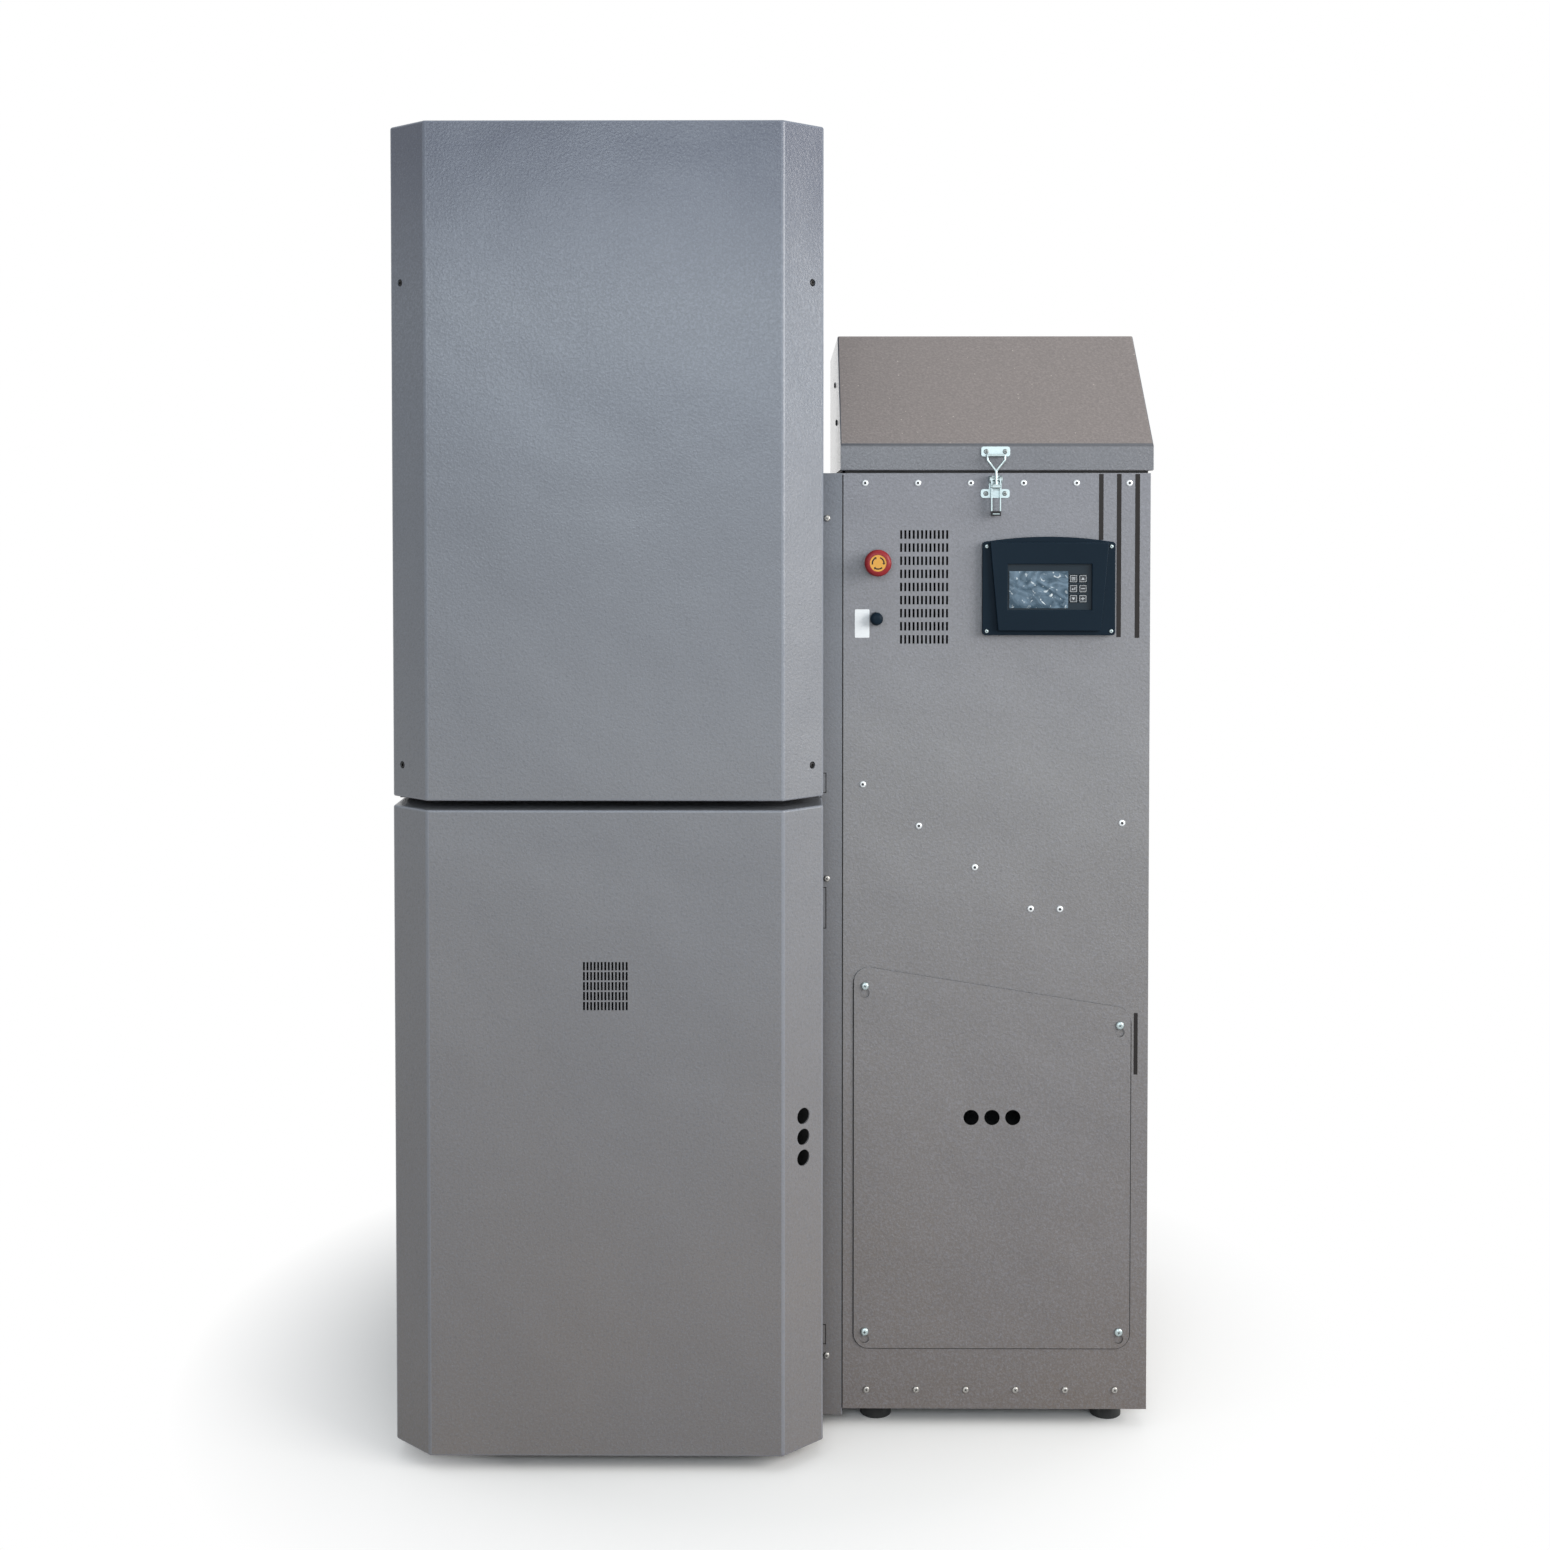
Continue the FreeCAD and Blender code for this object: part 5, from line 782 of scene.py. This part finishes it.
# %% seats and heads
def islands(node):
    """The points of each separate solid of a node."""
    bm = plain_copy(node)
    seen, groups = set(), []
    for vert in bm.verts:
        group, waiting = [], [vert]
        while waiting:
            spot = waiting.pop()
            if spot not in seen:
                seen.add(spot)
                group.append(spot.co.copy())
                waiting += [edge.other_vert(spot) for edge in spot.link_edges]
        if group:
            groups.append(group)
    bm.free()
    return groups


def seats(node, way_of, rise):
    """Where each solid's head sits and which way it faces."""
    found = []
    for group in islands(node):
        corners = [[pick(spot[axis] for spot in group) for axis in range(3)] for pick in (min, max)]
        centre = (Vector(corners[0]) + Vector(corners[1])) / 2
        way = way_of(centre)
        top = max(spot.dot(way) for spot in group)
        found.append((centre + way * (top - rise * MM - centre.dot(way)), way))
    return found


def fasten(name, places, shape, material, body, slot, nodes=(), spin=math.tau):
    """One mesh of heads on the given seats."""
    mesh = bpy.data.meshes.new(name)
    mesh.from_pydata([spot for spot, way in places], [], [])
    mark = mesh.attributes.new("facing", "FLOAT_VECTOR", "POINT")
    mark.data.foreach_set("vector", [part for spot, way in places for part in way])
    thing = put(name, mesh)
    modifier = thing.modifiers.new("heads", "NODES")
    modifier.node_group = heads
    modifier[SHAPE] = shape
    modifier[FINISH] = material
    modifier[SPIN] = spin
    bake(thing)
    hand_over(thing, body, nodes)
    print(name, len(places), "heads")


# %% [markdown]
# ## Heads that the CAD places
# Rivets show a mandrel hole, sheet screws a cross, hook screws a shank, hinge bolts six flats, and the
# sunk cover screws a socket. Their seats could be listed by hand. Measured from the nodes, they can't
# drift.

# %% heads of the CAD nodes
FRONT = Vector((0, -1, 0))
BACK = Vector((0, 1, 0))
LEFT = Vector((-1, 0, 0))
RIGHT = Vector((1, 0, 0))
CHAMFER = Vector((0.6596, -0.7516, 0))
# The heads' holes, crosses, slots and sockets are marked and painted dark as shade.
rivet = head_shape("rivet", [(4.4, 0), (4.2, 0.6), (3.3, 1.3), (2.4, 1.6)], 14, ring_points(1.9, 8), 1.2)
pan = head_shape("pan", [(4.25, 0), (4.2, 1.0), (3.5, 2.0), (2.7, 2.4)], 14, cross_points(1.9, 0.42), 1.2)
hook_shank = [(2.5, -2.1), (2.5, 0)]
hook_profile = hook_shank + [(5.1, 0), (5.3, 0.5), (5.1, 1.2), (4.4, 2.0), (3.4, 2.5), (2.4, 2.8)]
hook = head_shape("hook", hook_profile, 16, cross_points(1.8, 0.4), 1.0)
hexagon = head_shape("hexagon", [(5.0, 0), (5.0, 3.7), (4.3, 4.5)], 6, ring_points(2.4, 6), 0.3)
button = head_shape("button", [(4.3, 0), (4.2, 0.7), (3.3, 1.5), (2.6, 1.8)], 14, ring_points(1.9, 6), 1.3)


def to_front(centre):
    return FRONT


def to_chamfer(centre):
    """Outwards from the chamfer on the centre's side."""
    return Vector((math.copysign(CHAMFER.x, centre.x), CHAMFER.y, 0))


for name, node, way_of, rise, shape, material, spin in (
    ("rivet_heads", "front_rivets", to_front, 1.6, rivet, rivet_metal, math.tau),
    ("panel_screw_heads", "panel_screws", to_front, 2.4, pan, screw_zinc, math.tau),
    ("hook_screw_heads", "cover_hook_screws", to_front, 2.8, hook, zinc, math.tau),
    ("hinge_bolt_heads", "hinge_bolts", lambda centre: LEFT, 4.5, hexagon, zinc, 0.6),
    ("cover_screw_heads", "cover_screws", to_chamfer, 1.8, button, black_screw, math.tau),
):
    fasten(name, seats(node, way_of, rise), shape, material, *stands_for(node), spin)

# %% [markdown]
# ## Small heads that the CAD leaves out
# Screws hold the controller, the latch's plates and the panels' edges, and two rivets sit in the lid's
# side. CAD solids would only add weight. As heads on seats worked out from the pieces they hold, they
# cost one mesh each.

# %% screws of the controller and the latch
PLATED = "zinc_plated_steel"
small = head_shape("small", [(2.7, 0), (2.6, 0.6), (2.0, 1.2), (1.6, 1.4)], 12, cross_points(1.2, 0.3), 0.8)
slot_mouth = [(1.9, 0.34), (-1.9, 0.34), (-1.9, -0.34), (1.9, -0.34)]
slotted = head_shape("slotted", [(3.2, 0), (3.1, 0.5), (2.5, 1.0), (2.2, 1.1)], 14, slot_mouth, 0.7)
SCREW_INSET = 5.2 * MM
BEZEL_ARCH = 7 * MM
BEZEL_FACE = 7 * MM
bezel_low, bezel_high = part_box("controller_bezel")
corner_seats = [
    (Vector((x, bezel_low.y + BEZEL_FACE, z)), FRONT)
    for x in (bezel_low.x + SCREW_INSET, bezel_high.x - SCREW_INSET)
    for z in (bezel_low.z + SCREW_INSET, bezel_high.z - BEZEL_ARCH - SCREW_INSET)
]
fasten("controller_screws", corner_seats, small, zinc, "boiler", PLATED)
PLATE = 1.6 * MM
PLATE_SCREW = 11.9 * MM
BASE_MIDDLE = 5.5 * MM
base_low, base_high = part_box("latch_base")
strike_low, strike_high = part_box("latch_strike")
latch_x = (strike_low.x + strike_high.x) / 2
strike_z = (strike_low.z + strike_high.z) / 2
sides = (latch_x - PLATE_SCREW, latch_x + PLATE_SCREW)
strike_seats = [(Vector((x, strike_high.y - PLATE, strike_z)), FRONT) for x in sides]
base_seats = [(Vector((x, base_high.y - PLATE, base_low.z + BASE_MIDDLE)), FRONT) for x in sides]
fasten("strike_screws", strike_seats, slotted, dark_steel, "lid", PLATED)
fasten("latch_base_screws", base_seats, slotted, dark_steel, "boiler", PLATED)

# %% heads on the sides and the back
LID_RIVETS = ((-54, 1350), (-134, 1294))
EDGE_INSET = 14 * MM


def along_edges(node, way, count):
    """Seats in two upright rows near a panel's edges."""
    low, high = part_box(node)
    across = 1 if way.x else 0
    depth = (high if way.x + way.y > 0 else low)[1 - across]
    found = []
    for side in (low[across] + EDGE_INSET, high[across] - EDGE_INSET):
        for step in range(count):
            spot = Vector((0, 0, low.z + (high.z - low.z) * (step + 0.5) / count))
            spot[across] = side
            spot[1 - across] = depth
            found.append((spot, way))
    return found


lid_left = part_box("bin_lid")[0].x
lid_seats = [(Vector((lid_left, y * MM, z * MM)), LEFT) for y, z in LID_RIVETS]
fasten("lid_rivets", lid_seats, rivet, zinc, "lid", PLATED)
edge_seats = along_edges("jacket_left_panel", LEFT, 5) + along_edges("jacket_right_panel", RIGHT, 5)
edge_seats += along_edges("cabinet_right_panel", RIGHT, 4) + along_edges("jacket_back_panel", BACK, 5)
edge_seats += along_edges("cabinet_back_panel", BACK, 4)
fasten("panel_edge_screws", edge_seats, pan, zinc, "boiler", PLATED)
for shape in (rivet, pan, hook, hexagon, button, small, slotted):
    bpy.data.objects.remove(shape)

# %% [markdown]
# ## Controller bezel
# The bezel is a moulded frame with a thin flange, a raised body and a sunk window. Subdividing it would
# need extra loops. Only its front edges are rounded here, at their two depths, and the window's floor
# gets a lighter plastic.


# %% bezel
BODY_ROUND = 1.3 * MM
FLANGE_ROUND = 1.6 * MM
WINDOW_DEPTH = 5 * MM
SAME_DEPTH = 0.01 * MM


def front_edges(level):
    """A test for sharp edges that lie at one depth."""
    sharp = sharp_edges(0.0)
    return lambda edge: sharp(edge) and all(abs(vert.co.y - level) < SAME_DEPTH for vert in edge.verts)


bm = plain_copy("controller_bezel")
# The rounded front edges get a faint painted highlight through the wear mark.
soften(bm, front_edges(bezel_low.y), BODY_ROUND, 3, 0.3)
soften(bm, front_edges(bezel_low.y + BEZEL_FACE), FLANGE_ROUND, 3, 0.3)
for face in bm.faces:
    if abs(face.calc_center_median().y - bezel_low.y - WINDOW_DEPTH) < SAME_DEPTH:
        face.material_index = 1
settle(bm, "controller_bezel_skin", [black_plastic, window_plastic], *stands_for("controller_bezel"))

# %% [markdown]
# ## Keys
# Six keys sit in the window, each with a printed frame and a plain sign. A texture could hold the
# print, but would need a picture. Thin plates in a second material stay sharp and ride on the key.


# %% thin plates
def slab(bm, spots, front, back, index=0):
    """A thin plate between two depths from its outline, in millimetres."""
    near = [bm.verts.new(Vector((x, front, z)) * MM) for x, z in spots]
    far = [bm.verts.new(Vector((x, back, z)) * MM) for x, z in spots]
    for face in [bm.faces.new(near), bm.faces.new(far[::-1])] + band(bm, near, far):
        face.material_index = index


def moved(points, centre):
    """Points in millimetres about a centre in metres."""
    return [(centre.x / MM + x, centre.z / MM + z) for x, z in points]


def bar(low, high):
    return [low, (high[0], low[1]), high, (low[0], high[1])]


# %% keys
KEY_ROUND = 0.5 * MM
KEY_EDGE = 4.2
KEY_LINE = 0.45
KEY_INNER = KEY_EDGE - KEY_LINE
SIGN = 2.2
PRINT_LIFT = 0.03
KEY_STARTS = (-KEY_EDGE, KEY_INNER)
LONG_BARS = [bar((-KEY_EDGE, z), (KEY_EDGE, z + KEY_LINE)) for z in KEY_STARTS]
SHORT_BARS = [bar((x, -KEY_INNER), (x + KEY_LINE, KEY_INNER)) for x in KEY_STARTS]
BENT_ARROW = [
    (-2.4, -0.6), (-0.8, -2.0), (-0.8, -1.0), (SIGN, -1.0), (SIGN, 1.8),
    (1.4, 1.8), (1.4, -0.2), (-0.8, -0.2), (-0.8, 0.8),
]
SIGNS = {
    "key_menu": [bar((-SIGN, z), (SIGN, z + 0.7)) for z in (-1.9, -0.35, 1.2)],
    "key_up": [[(-SIGN, -1.4), (SIGN, -1.4), (0, 1.9)]],
    "key_down": [[(-SIGN, 1.4), (0, -1.9), (SIGN, 1.4)]],
    "key_plus": [cross_points(SIGN, 0.45)],
    "key_minus": [bar((-SIGN, -0.45), (SIGN, 0.45))],
    "key_enter": [BENT_ARROW],
}
for node, sign in SIGNS.items():
    low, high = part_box(node)
    bm = plain_copy(node)
    soften(bm, front_edges(low.y), KEY_ROUND, 2, 0.0)
    for points in LONG_BARS + SHORT_BARS + sign:
        slab(bm, moved(points, (low + high) / 2), low.y / MM - PRINT_LIFT, low.y / MM, 1)
    settle(bm, f"{node}_cap", [key_plastic, key_print], *stands_for(node))

# %% [markdown]
# ## Display
# The film lies in shallow folds. A cloth simulation would take time for a sheet that never moves. A
# grid is pressed into folds by crossing waves that fade out at the hem, and closed into a plate.

# %% display
FILM_DEPTH = 0.7 * MM
FILM_STEPS = (46, 30)
FILM_REST = 0.55
FILM_SWING = 0.28
HEM_RISE = 12


def film_fold(u, v):
    """Height of the folds at a place on the film, from about -1.5 to 1.5."""
    broad = math.sin(9 * u + 5 * v + 2 * math.sin(7 * v)) * math.sin(6 * u - 8 * v + 2.5 * math.sin(5 * u))
    return broad + 0.5 * math.sin(21 * u + 13 * v) * math.sin(17 * v - 11 * u)


low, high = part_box("controller_display")
size = high - low
bm = bmesh.new()
rows = []
for j in range(FILM_STEPS[1] + 1):
    row = []
    for i in range(FILM_STEPS[0] + 1):
        u, v = i / FILM_STEPS[0], j / FILM_STEPS[1]
        hem = min(1.0, HEM_RISE * min(u, v, 1 - u, 1 - v))
        lift = hem * (FILM_REST + FILM_SWING * film_fold(u, v))
        row.append(bm.verts.new((low.x + size.x * u, low.y + FILM_DEPTH * (1 - lift), low.z + size.z * v)))
    rows.append(row)
for lower, upper in zip(rows, rows[1:]):
    for i in range(FILM_STEPS[0]):
        bm.faces.new((lower[i], lower[i + 1], upper[i + 1], upper[i]))
rim = rows[0] + [row[-1] for row in rows[1:]] + rows[-1][-2::-1] + [row[0] for row in rows[-2:0:-1]]
back = [bm.verts.new((vert.co.x, high.y, vert.co.z)) for vert in rim]
band(bm, rim, back)
bm.faces.new(back)
face_outwards(bm)
settle(bm, "display_film", [display_film], *stands_for("controller_display"), crease=60)

# %% [markdown]
# ## Stop button
# The emergency stop is a red mushroom with a yellow disc and arrows for the turn that releases it. A
# cylinder with many bevels could give it. Its outline says it all in one line of points, so it is
# turned, and the arrows are thin plates.

# %% stop button
TURNED_STEPS = 48
DISC_SINK = 0.5
DISC_RADIUS = 10.4
TO_FRONT = Matrix.Rotation(math.radians(90), 4, "X")
low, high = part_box("estop_head")
centre = (low + high) / 2
length = (high.y - low.y) / MM
disc = length - DISC_SINK
stem = [(0, 11), (6.05, 11), (6.05, 0), (11.6, 0), (12, 0.4), (12, 5.4), (12.4, 6)]
cap = [(16.4, 6), (17, 6.7), (17, 10.6), (16.7, 12.6), (15.8, 14.3), (14.2, 15.4), (12.1, length)]
top = [(10.7, length), (DISC_RADIUS, disc), (0, disc)]
bm = bmesh.new()
turned(bm, stem + cap + top, TURNED_STEPS)
for face in bm.faces:
    spot = face.calc_center_median() / MM
    if spot.z > disc - 0.1 and spot.xy.length < DISC_RADIUS:
        face.material_index = 1
face_outwards(bm)
bm.transform(Matrix.Translation((centre.x, high.y, centre.z)) @ TO_FRONT)

# %% arrows of the stop button
ARROWS = 3
ARROW_SWEEP = 72
ARROW_STEPS = 6
SHAFT_INNER, SHAFT_OUTER = 6.4, 8.2
TIP_INNER, TIP_MIDDLE, TIP_OUTER = 5.2, 7.3, 9.4
TIP_ANGLE = 16
disc_depth = high.y / MM - disc
for number in range(ARROWS):
    begin = 360 * number / ARROWS
    end = begin + ARROW_SWEEP
    shaft = arc(SHAFT_OUTER, begin, end, ARROW_STEPS) + arc(SHAFT_INNER, end, begin, ARROW_STEPS)
    tip = [polar(TIP_OUTER, begin), polar(TIP_INNER, begin), polar(TIP_MIDDLE, begin - TIP_ANGLE)]
    for outline in (shaft, tip):
        slab(bm, moved(outline, centre), disc_depth - PRINT_LIFT, disc_depth, 2)
settle(bm, "stop_button_head", [stop_red, stop_yellow, vinyl], *stands_for("estop_head"))

# %% [markdown]
# ## Thermostat cap
# A small black cap screws over the reset pin of the safety thermostat. Its grip could be cut with
# sixteen notches. A cosine that draws the turned wall in gives rounded flutes without new edges.

# %% thermostat cap
FLUTES = 16
FLUTE_SHARE = 0.035
FLUTE_RADIUS = 6
FLUTE_TOP = 10
low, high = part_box("reset_cap")
centre = (low + high) / 2
length = (high.y - low.y) / MM
bore = [(0, 9.9), (5.05, 9.9), (5.05, 0)]
wall = [(7.9, 0), (8.4, 0.6), (8.4, 7.6), (8.0, 9.6)]
dome = [(6.8, 11.3), (4.8, 12.3), (2.4, length - 0.1), (0, length)]
bm = bmesh.new()
turned(bm, bore + wall + dome, TURNED_STEPS)
for vert in bm.verts:
    spot = vert.co / MM
    if spot.xy.length > FLUTE_RADIUS and spot.z < FLUTE_TOP:
        angle = math.atan2(spot.y, spot.x)
        vert.co.xy *= 1 - FLUTE_SHARE * (1 + math.cos(FLUTES * angle)) / 2
face_outwards(bm)
bm.transform(Matrix.Translation((centre.x, high.y, centre.z)) @ TO_FRONT)
settle(bm, "thermostat_cap_knob", [black_plastic], *stands_for("reset_cap"), crease=40)

# %% [markdown]
# ## Toggle latch and hinges
# A wire loop on a lever pulls the lid down over its seal, against two hinges at the back. They could be
# modelled anew, but the CAD has their true sizes. Edges are broken so that they glint, the lever's
# black tip is cut into faces of its own, and a turned bar becomes its lip.

# %% loop and hinges
METAL_RIM = 0.35 * MM
METAL_EDGE = 2.5 * MM
for node in ("latch_loop", "lid_hinge_leaves", "lid_hinge_flaps"):
    dress(node, zinc, 0.0, METAL_RIM, METAL_EDGE)

# %% lever of the latch
LEVER_TIP = 6 * MM
LIP_RADIUS = 0.9
LIP_LENGTH = 8.4
LIP_RISE = 2.4 * MM
LIP_STEPS = 12
TO_RIGHT = Matrix.Rotation(math.radians(90), 4, "Y")
low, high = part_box("latch_lever")
tip_top = low.z + LEVER_TIP
bm = plain_copy("latch_lever")
everything = bm.verts[:] + bm.edges[:] + bm.faces[:]
bmesh.ops.bisect_plane(bm, geom=everything, dist=1e-6, plane_co=(0, 0, tip_top), plane_no=(0, 0, 1))
soften(bm, sharp_edges(METAL_EDGE), METAL_RIM, 2)
for face in bm.faces:
    if face.calc_center_median().z < tip_top:
        face.material_index = 1
lip_ends = [(0, 0), (LIP_RADIUS, 0), (LIP_RADIUS, LIP_LENGTH), (0, LIP_LENGTH)]
lip = [vert for ring in turned(bm, lip_ends, LIP_STEPS) for vert in ring]
lip_start = Vector((latch_x - LIP_LENGTH / 2 * MM, low.y, low.z + LIP_RISE))
bmesh.ops.transform(bm, matrix=Matrix.Translation(lip_start) @ TO_RIGHT, verts=lip)
face_outwards(bm)
settle(bm, "latch_lever_skin", [zinc, black_screw], *stands_for("latch_lever"))

# %% plates of the latch
PLATE_REACH = 15 * MM
PLATE_CORNER = 3.4 * MM
PLATE_EDGE = 2 * MM


def is_plate_corner(edge):
    """An outer corner that runs through the plate's thickness."""
    outer = all(abs(vert.co.x - latch_x) > PLATE_REACH for vert in edge.verts)
    return outer and abs(edge.verts[0].co.y - edge.verts[1].co.y) > PLATE / 2


for node in ("latch_base", "latch_strike"):
    bm = plain_copy(node)
    soften(bm, is_plate_corner, PLATE_CORNER, 4, 0.0)
    soften(bm, sharp_edges(PLATE_EDGE), FINE_RIM, 2, 0.0)
    settle(bm, f"{node}_plate", [zinc], *stands_for(node))

# %% [markdown]
# ## Other metal pieces
# The pipe ends, the feed motor, the frames and the hatches keep their CAD form. They could be left as
# they came, but a perfectly sharp edge never shows a glint, so the longer ones are broken.

# %% metal pieces
for node in ("flue_collar", "water_sockets"):
    dress(node, raw_steel, 0.0, 0.4 * MM, METAL_EDGE)
dress("feed_motor", aluminium, 3 * MM, 0.8 * MM, 5 * MM)
for node in ("base_frame", "cabinet_base", "front_frame", "firebox_hatch", "smokebox_hatch"):
    dress(node, black_paint, 1.5 * MM, 0.4 * MM)
dress("hatch_knobs", black_plastic, 0.0, 1.2 * MM, METAL_EDGE)

# %% [markdown]
# ## Marks on the front
# Three plain vinyl stripes run down from the cabinet's top right corner, a short one stands beside the
# access cover, and a blank label sits by the cap. Painted into the coat they would need masks. Thin
# plates with rounded corners lie on the sheet as real film does.


# %% stripes and label
STRIPE_THICK = 0.12
LABEL_THICK = 0.25
CORNER_STEPS = 3
STRIPES = [
    ((614.6, 620.4), (1137.5, 1221)),
    ((637.2, 643.0), (1014.5, 1221)),
    ((660.4, 666.4), (1013.5, 1221)),
    ((661.8, 666.8), (456.5, 535.5)),
]
LABEL = ((306.3, 324.8), (1013.6, 1049.6))
PANEL_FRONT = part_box("cabinet_front_panel")[0].y / MM


def plaque(bm, across, up, level, thick, corner):
    """A thin plate on the front with rounded corners, all in millimetres."""
    spots = []
    middles = [(across[1] - corner, up[1] - corner), (across[0] + corner, up[1] - corner)]
    middles += [(across[0] + corner, up[0] + corner), (across[1] - corner, up[0] + corner)]
    for quarter, (x, z) in enumerate(middles):
        bend = arc(corner, 90 * quarter, 90 * quarter + 90, CORNER_STEPS)
        spots += [(x + right, z + rise) for right, rise in bend]
    slab(bm, spots, level - thick, level)


bm = bmesh.new()
for across, up in STRIPES:
    plaque(bm, across, up, PANEL_FRONT, STRIPE_THICK, 0.5)
settle(bm, "front_stripes", [vinyl], "boiler", "black_plastic")
bm = bmesh.new()
plaque(bm, *LABEL, PANEL_FRONT, LABEL_THICK, 1.2)
settle(bm, "blank_label", [paper], "boiler", "key_plastic")

# %% [markdown]
# ## Painted shadows of the joining strip's slots
# The strip between boiler and cabinet hooks in with three bent tabs and meets the front panel in a
# seam. Cut gaps would be slits that hardly show. Dark lines laid on the sheet draw the same outlines as
# painted shadows of the slots and the seam.

# %% painted shadows of the strip's slots and seam
TABS = ((816, 842), (643, 696), (108, 134))
TAB_START = 263
TAB_EDGE = 270.4
SLOT_SHADOW_LINE = 1.1
SEAM_SHADOW = ((290.2, 291.8), (26, 1220))
LINE_CORNER = 0.2
STRIP_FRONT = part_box("joining_strip")[0].y / MM
bm = bmesh.new()
for bottom, top in TABS:
    plaque(bm, (TAB_EDGE - SLOT_SHADOW_LINE, TAB_EDGE), (bottom, top), STRIP_FRONT, 0.06, LINE_CORNER)
    for z in (bottom, top - SLOT_SHADOW_LINE):
        plaque(bm, (TAB_START, TAB_EDGE), (z, z + SLOT_SHADOW_LINE), STRIP_FRONT, 0.06, LINE_CORNER)
plaque(bm, *SEAM_SHADOW, PANEL_FRONT, 0.05, LINE_CORNER)
settle(bm, "strip_tab_slots", [vinyl], "boiler", "black_plastic")

# %% [markdown]
# ## Painted shadow round the access cover
# A dark rubber strip behind the access cover paints the shadow of its gap as a fine line all round.
# The outline could be taken from the cover's mesh, but that is fragile at the corners. Four arcs about
# their centres give it.

# %% painted gap shadow of the access cover
COVER_FALL = 56 * MM
COVER_CORNER = 19 * MM
GAP_SHADOW_RADII = (COVER_CORNER + 1.3 * MM, COVER_CORNER - 3 * MM)
GAP_SHADOW_LEVELS = ((PANEL_FRONT - 0.28) * MM, (PANEL_FRONT - 0.05) * MM)
GAP_SHADOW_STEPS = 8
low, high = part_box("access_cover")
fall = COVER_FALL / (high.x - low.x)
steep = COVER_CORNER * math.hypot(1, fall)
top_left = high.z - COVER_CORNER * fall - steep
top_right = high.z - COVER_FALL + COVER_CORNER * fall - steep
left, right = low.x + COVER_CORNER, high.x - COVER_CORNER
base = low.z + COVER_CORNER
lean = 90 - math.degrees(math.atan(fall))
corners = [(left, base, 180, 270), (right, base, 270, 360)]
corners += [(right, top_right, 0, lean), (left, top_left, lean, 180)]
bm = bmesh.new()
loops = []
for level in GAP_SHADOW_LEVELS:
    for radius in GAP_SHADOW_RADII:
        loop = []
        for x, z, begin, end in corners:
            for across, rise in arc(radius, begin, end, GAP_SHADOW_STEPS):
                loop.append(bm.verts.new((x + across, level, z + rise)))
        loops.append(loop)
for one, two in ((0, 1), (1, 3), (3, 2), (2, 0)):
    band(bm, loops[one], loops[two])
face_outwards(bm)
# This dark strip is a painted shadow of the cover's gap.
settle(bm, "cover_seal", [rubber], "lift_off_cover", "seal_rubber")

# %% [markdown]
# ## What stays as it came
# Inside are the bin, the vessel, the burner and the feed screw. They could be dressed too, but no view
# shows them close, so only their finish is set. The bin's wall behind the controls is painted near black
# as shade, which keeps the vents dark.

# %% bin sheets with a bay wall in painted shade
BAY_LOW = 890 * MM
sheets = dress("bin_sheets", galvanised_sheet, 0.0, FINE_RIM)
sheets.data.materials.append(bay_shade)
for face in sheets.data.polygons:
    if face.normal.y < -0.5 and face.center.z > BAY_LOW:
        face.material_index = 1

# %% inner pieces
for node, thing in frame["nodes"].items():
    thing.data.materials.clear()
    thing.data.materials.append(BY_SLOT[SLOT_OF[node]])
print(len(frame["nodes"]), "nodes have a finish")
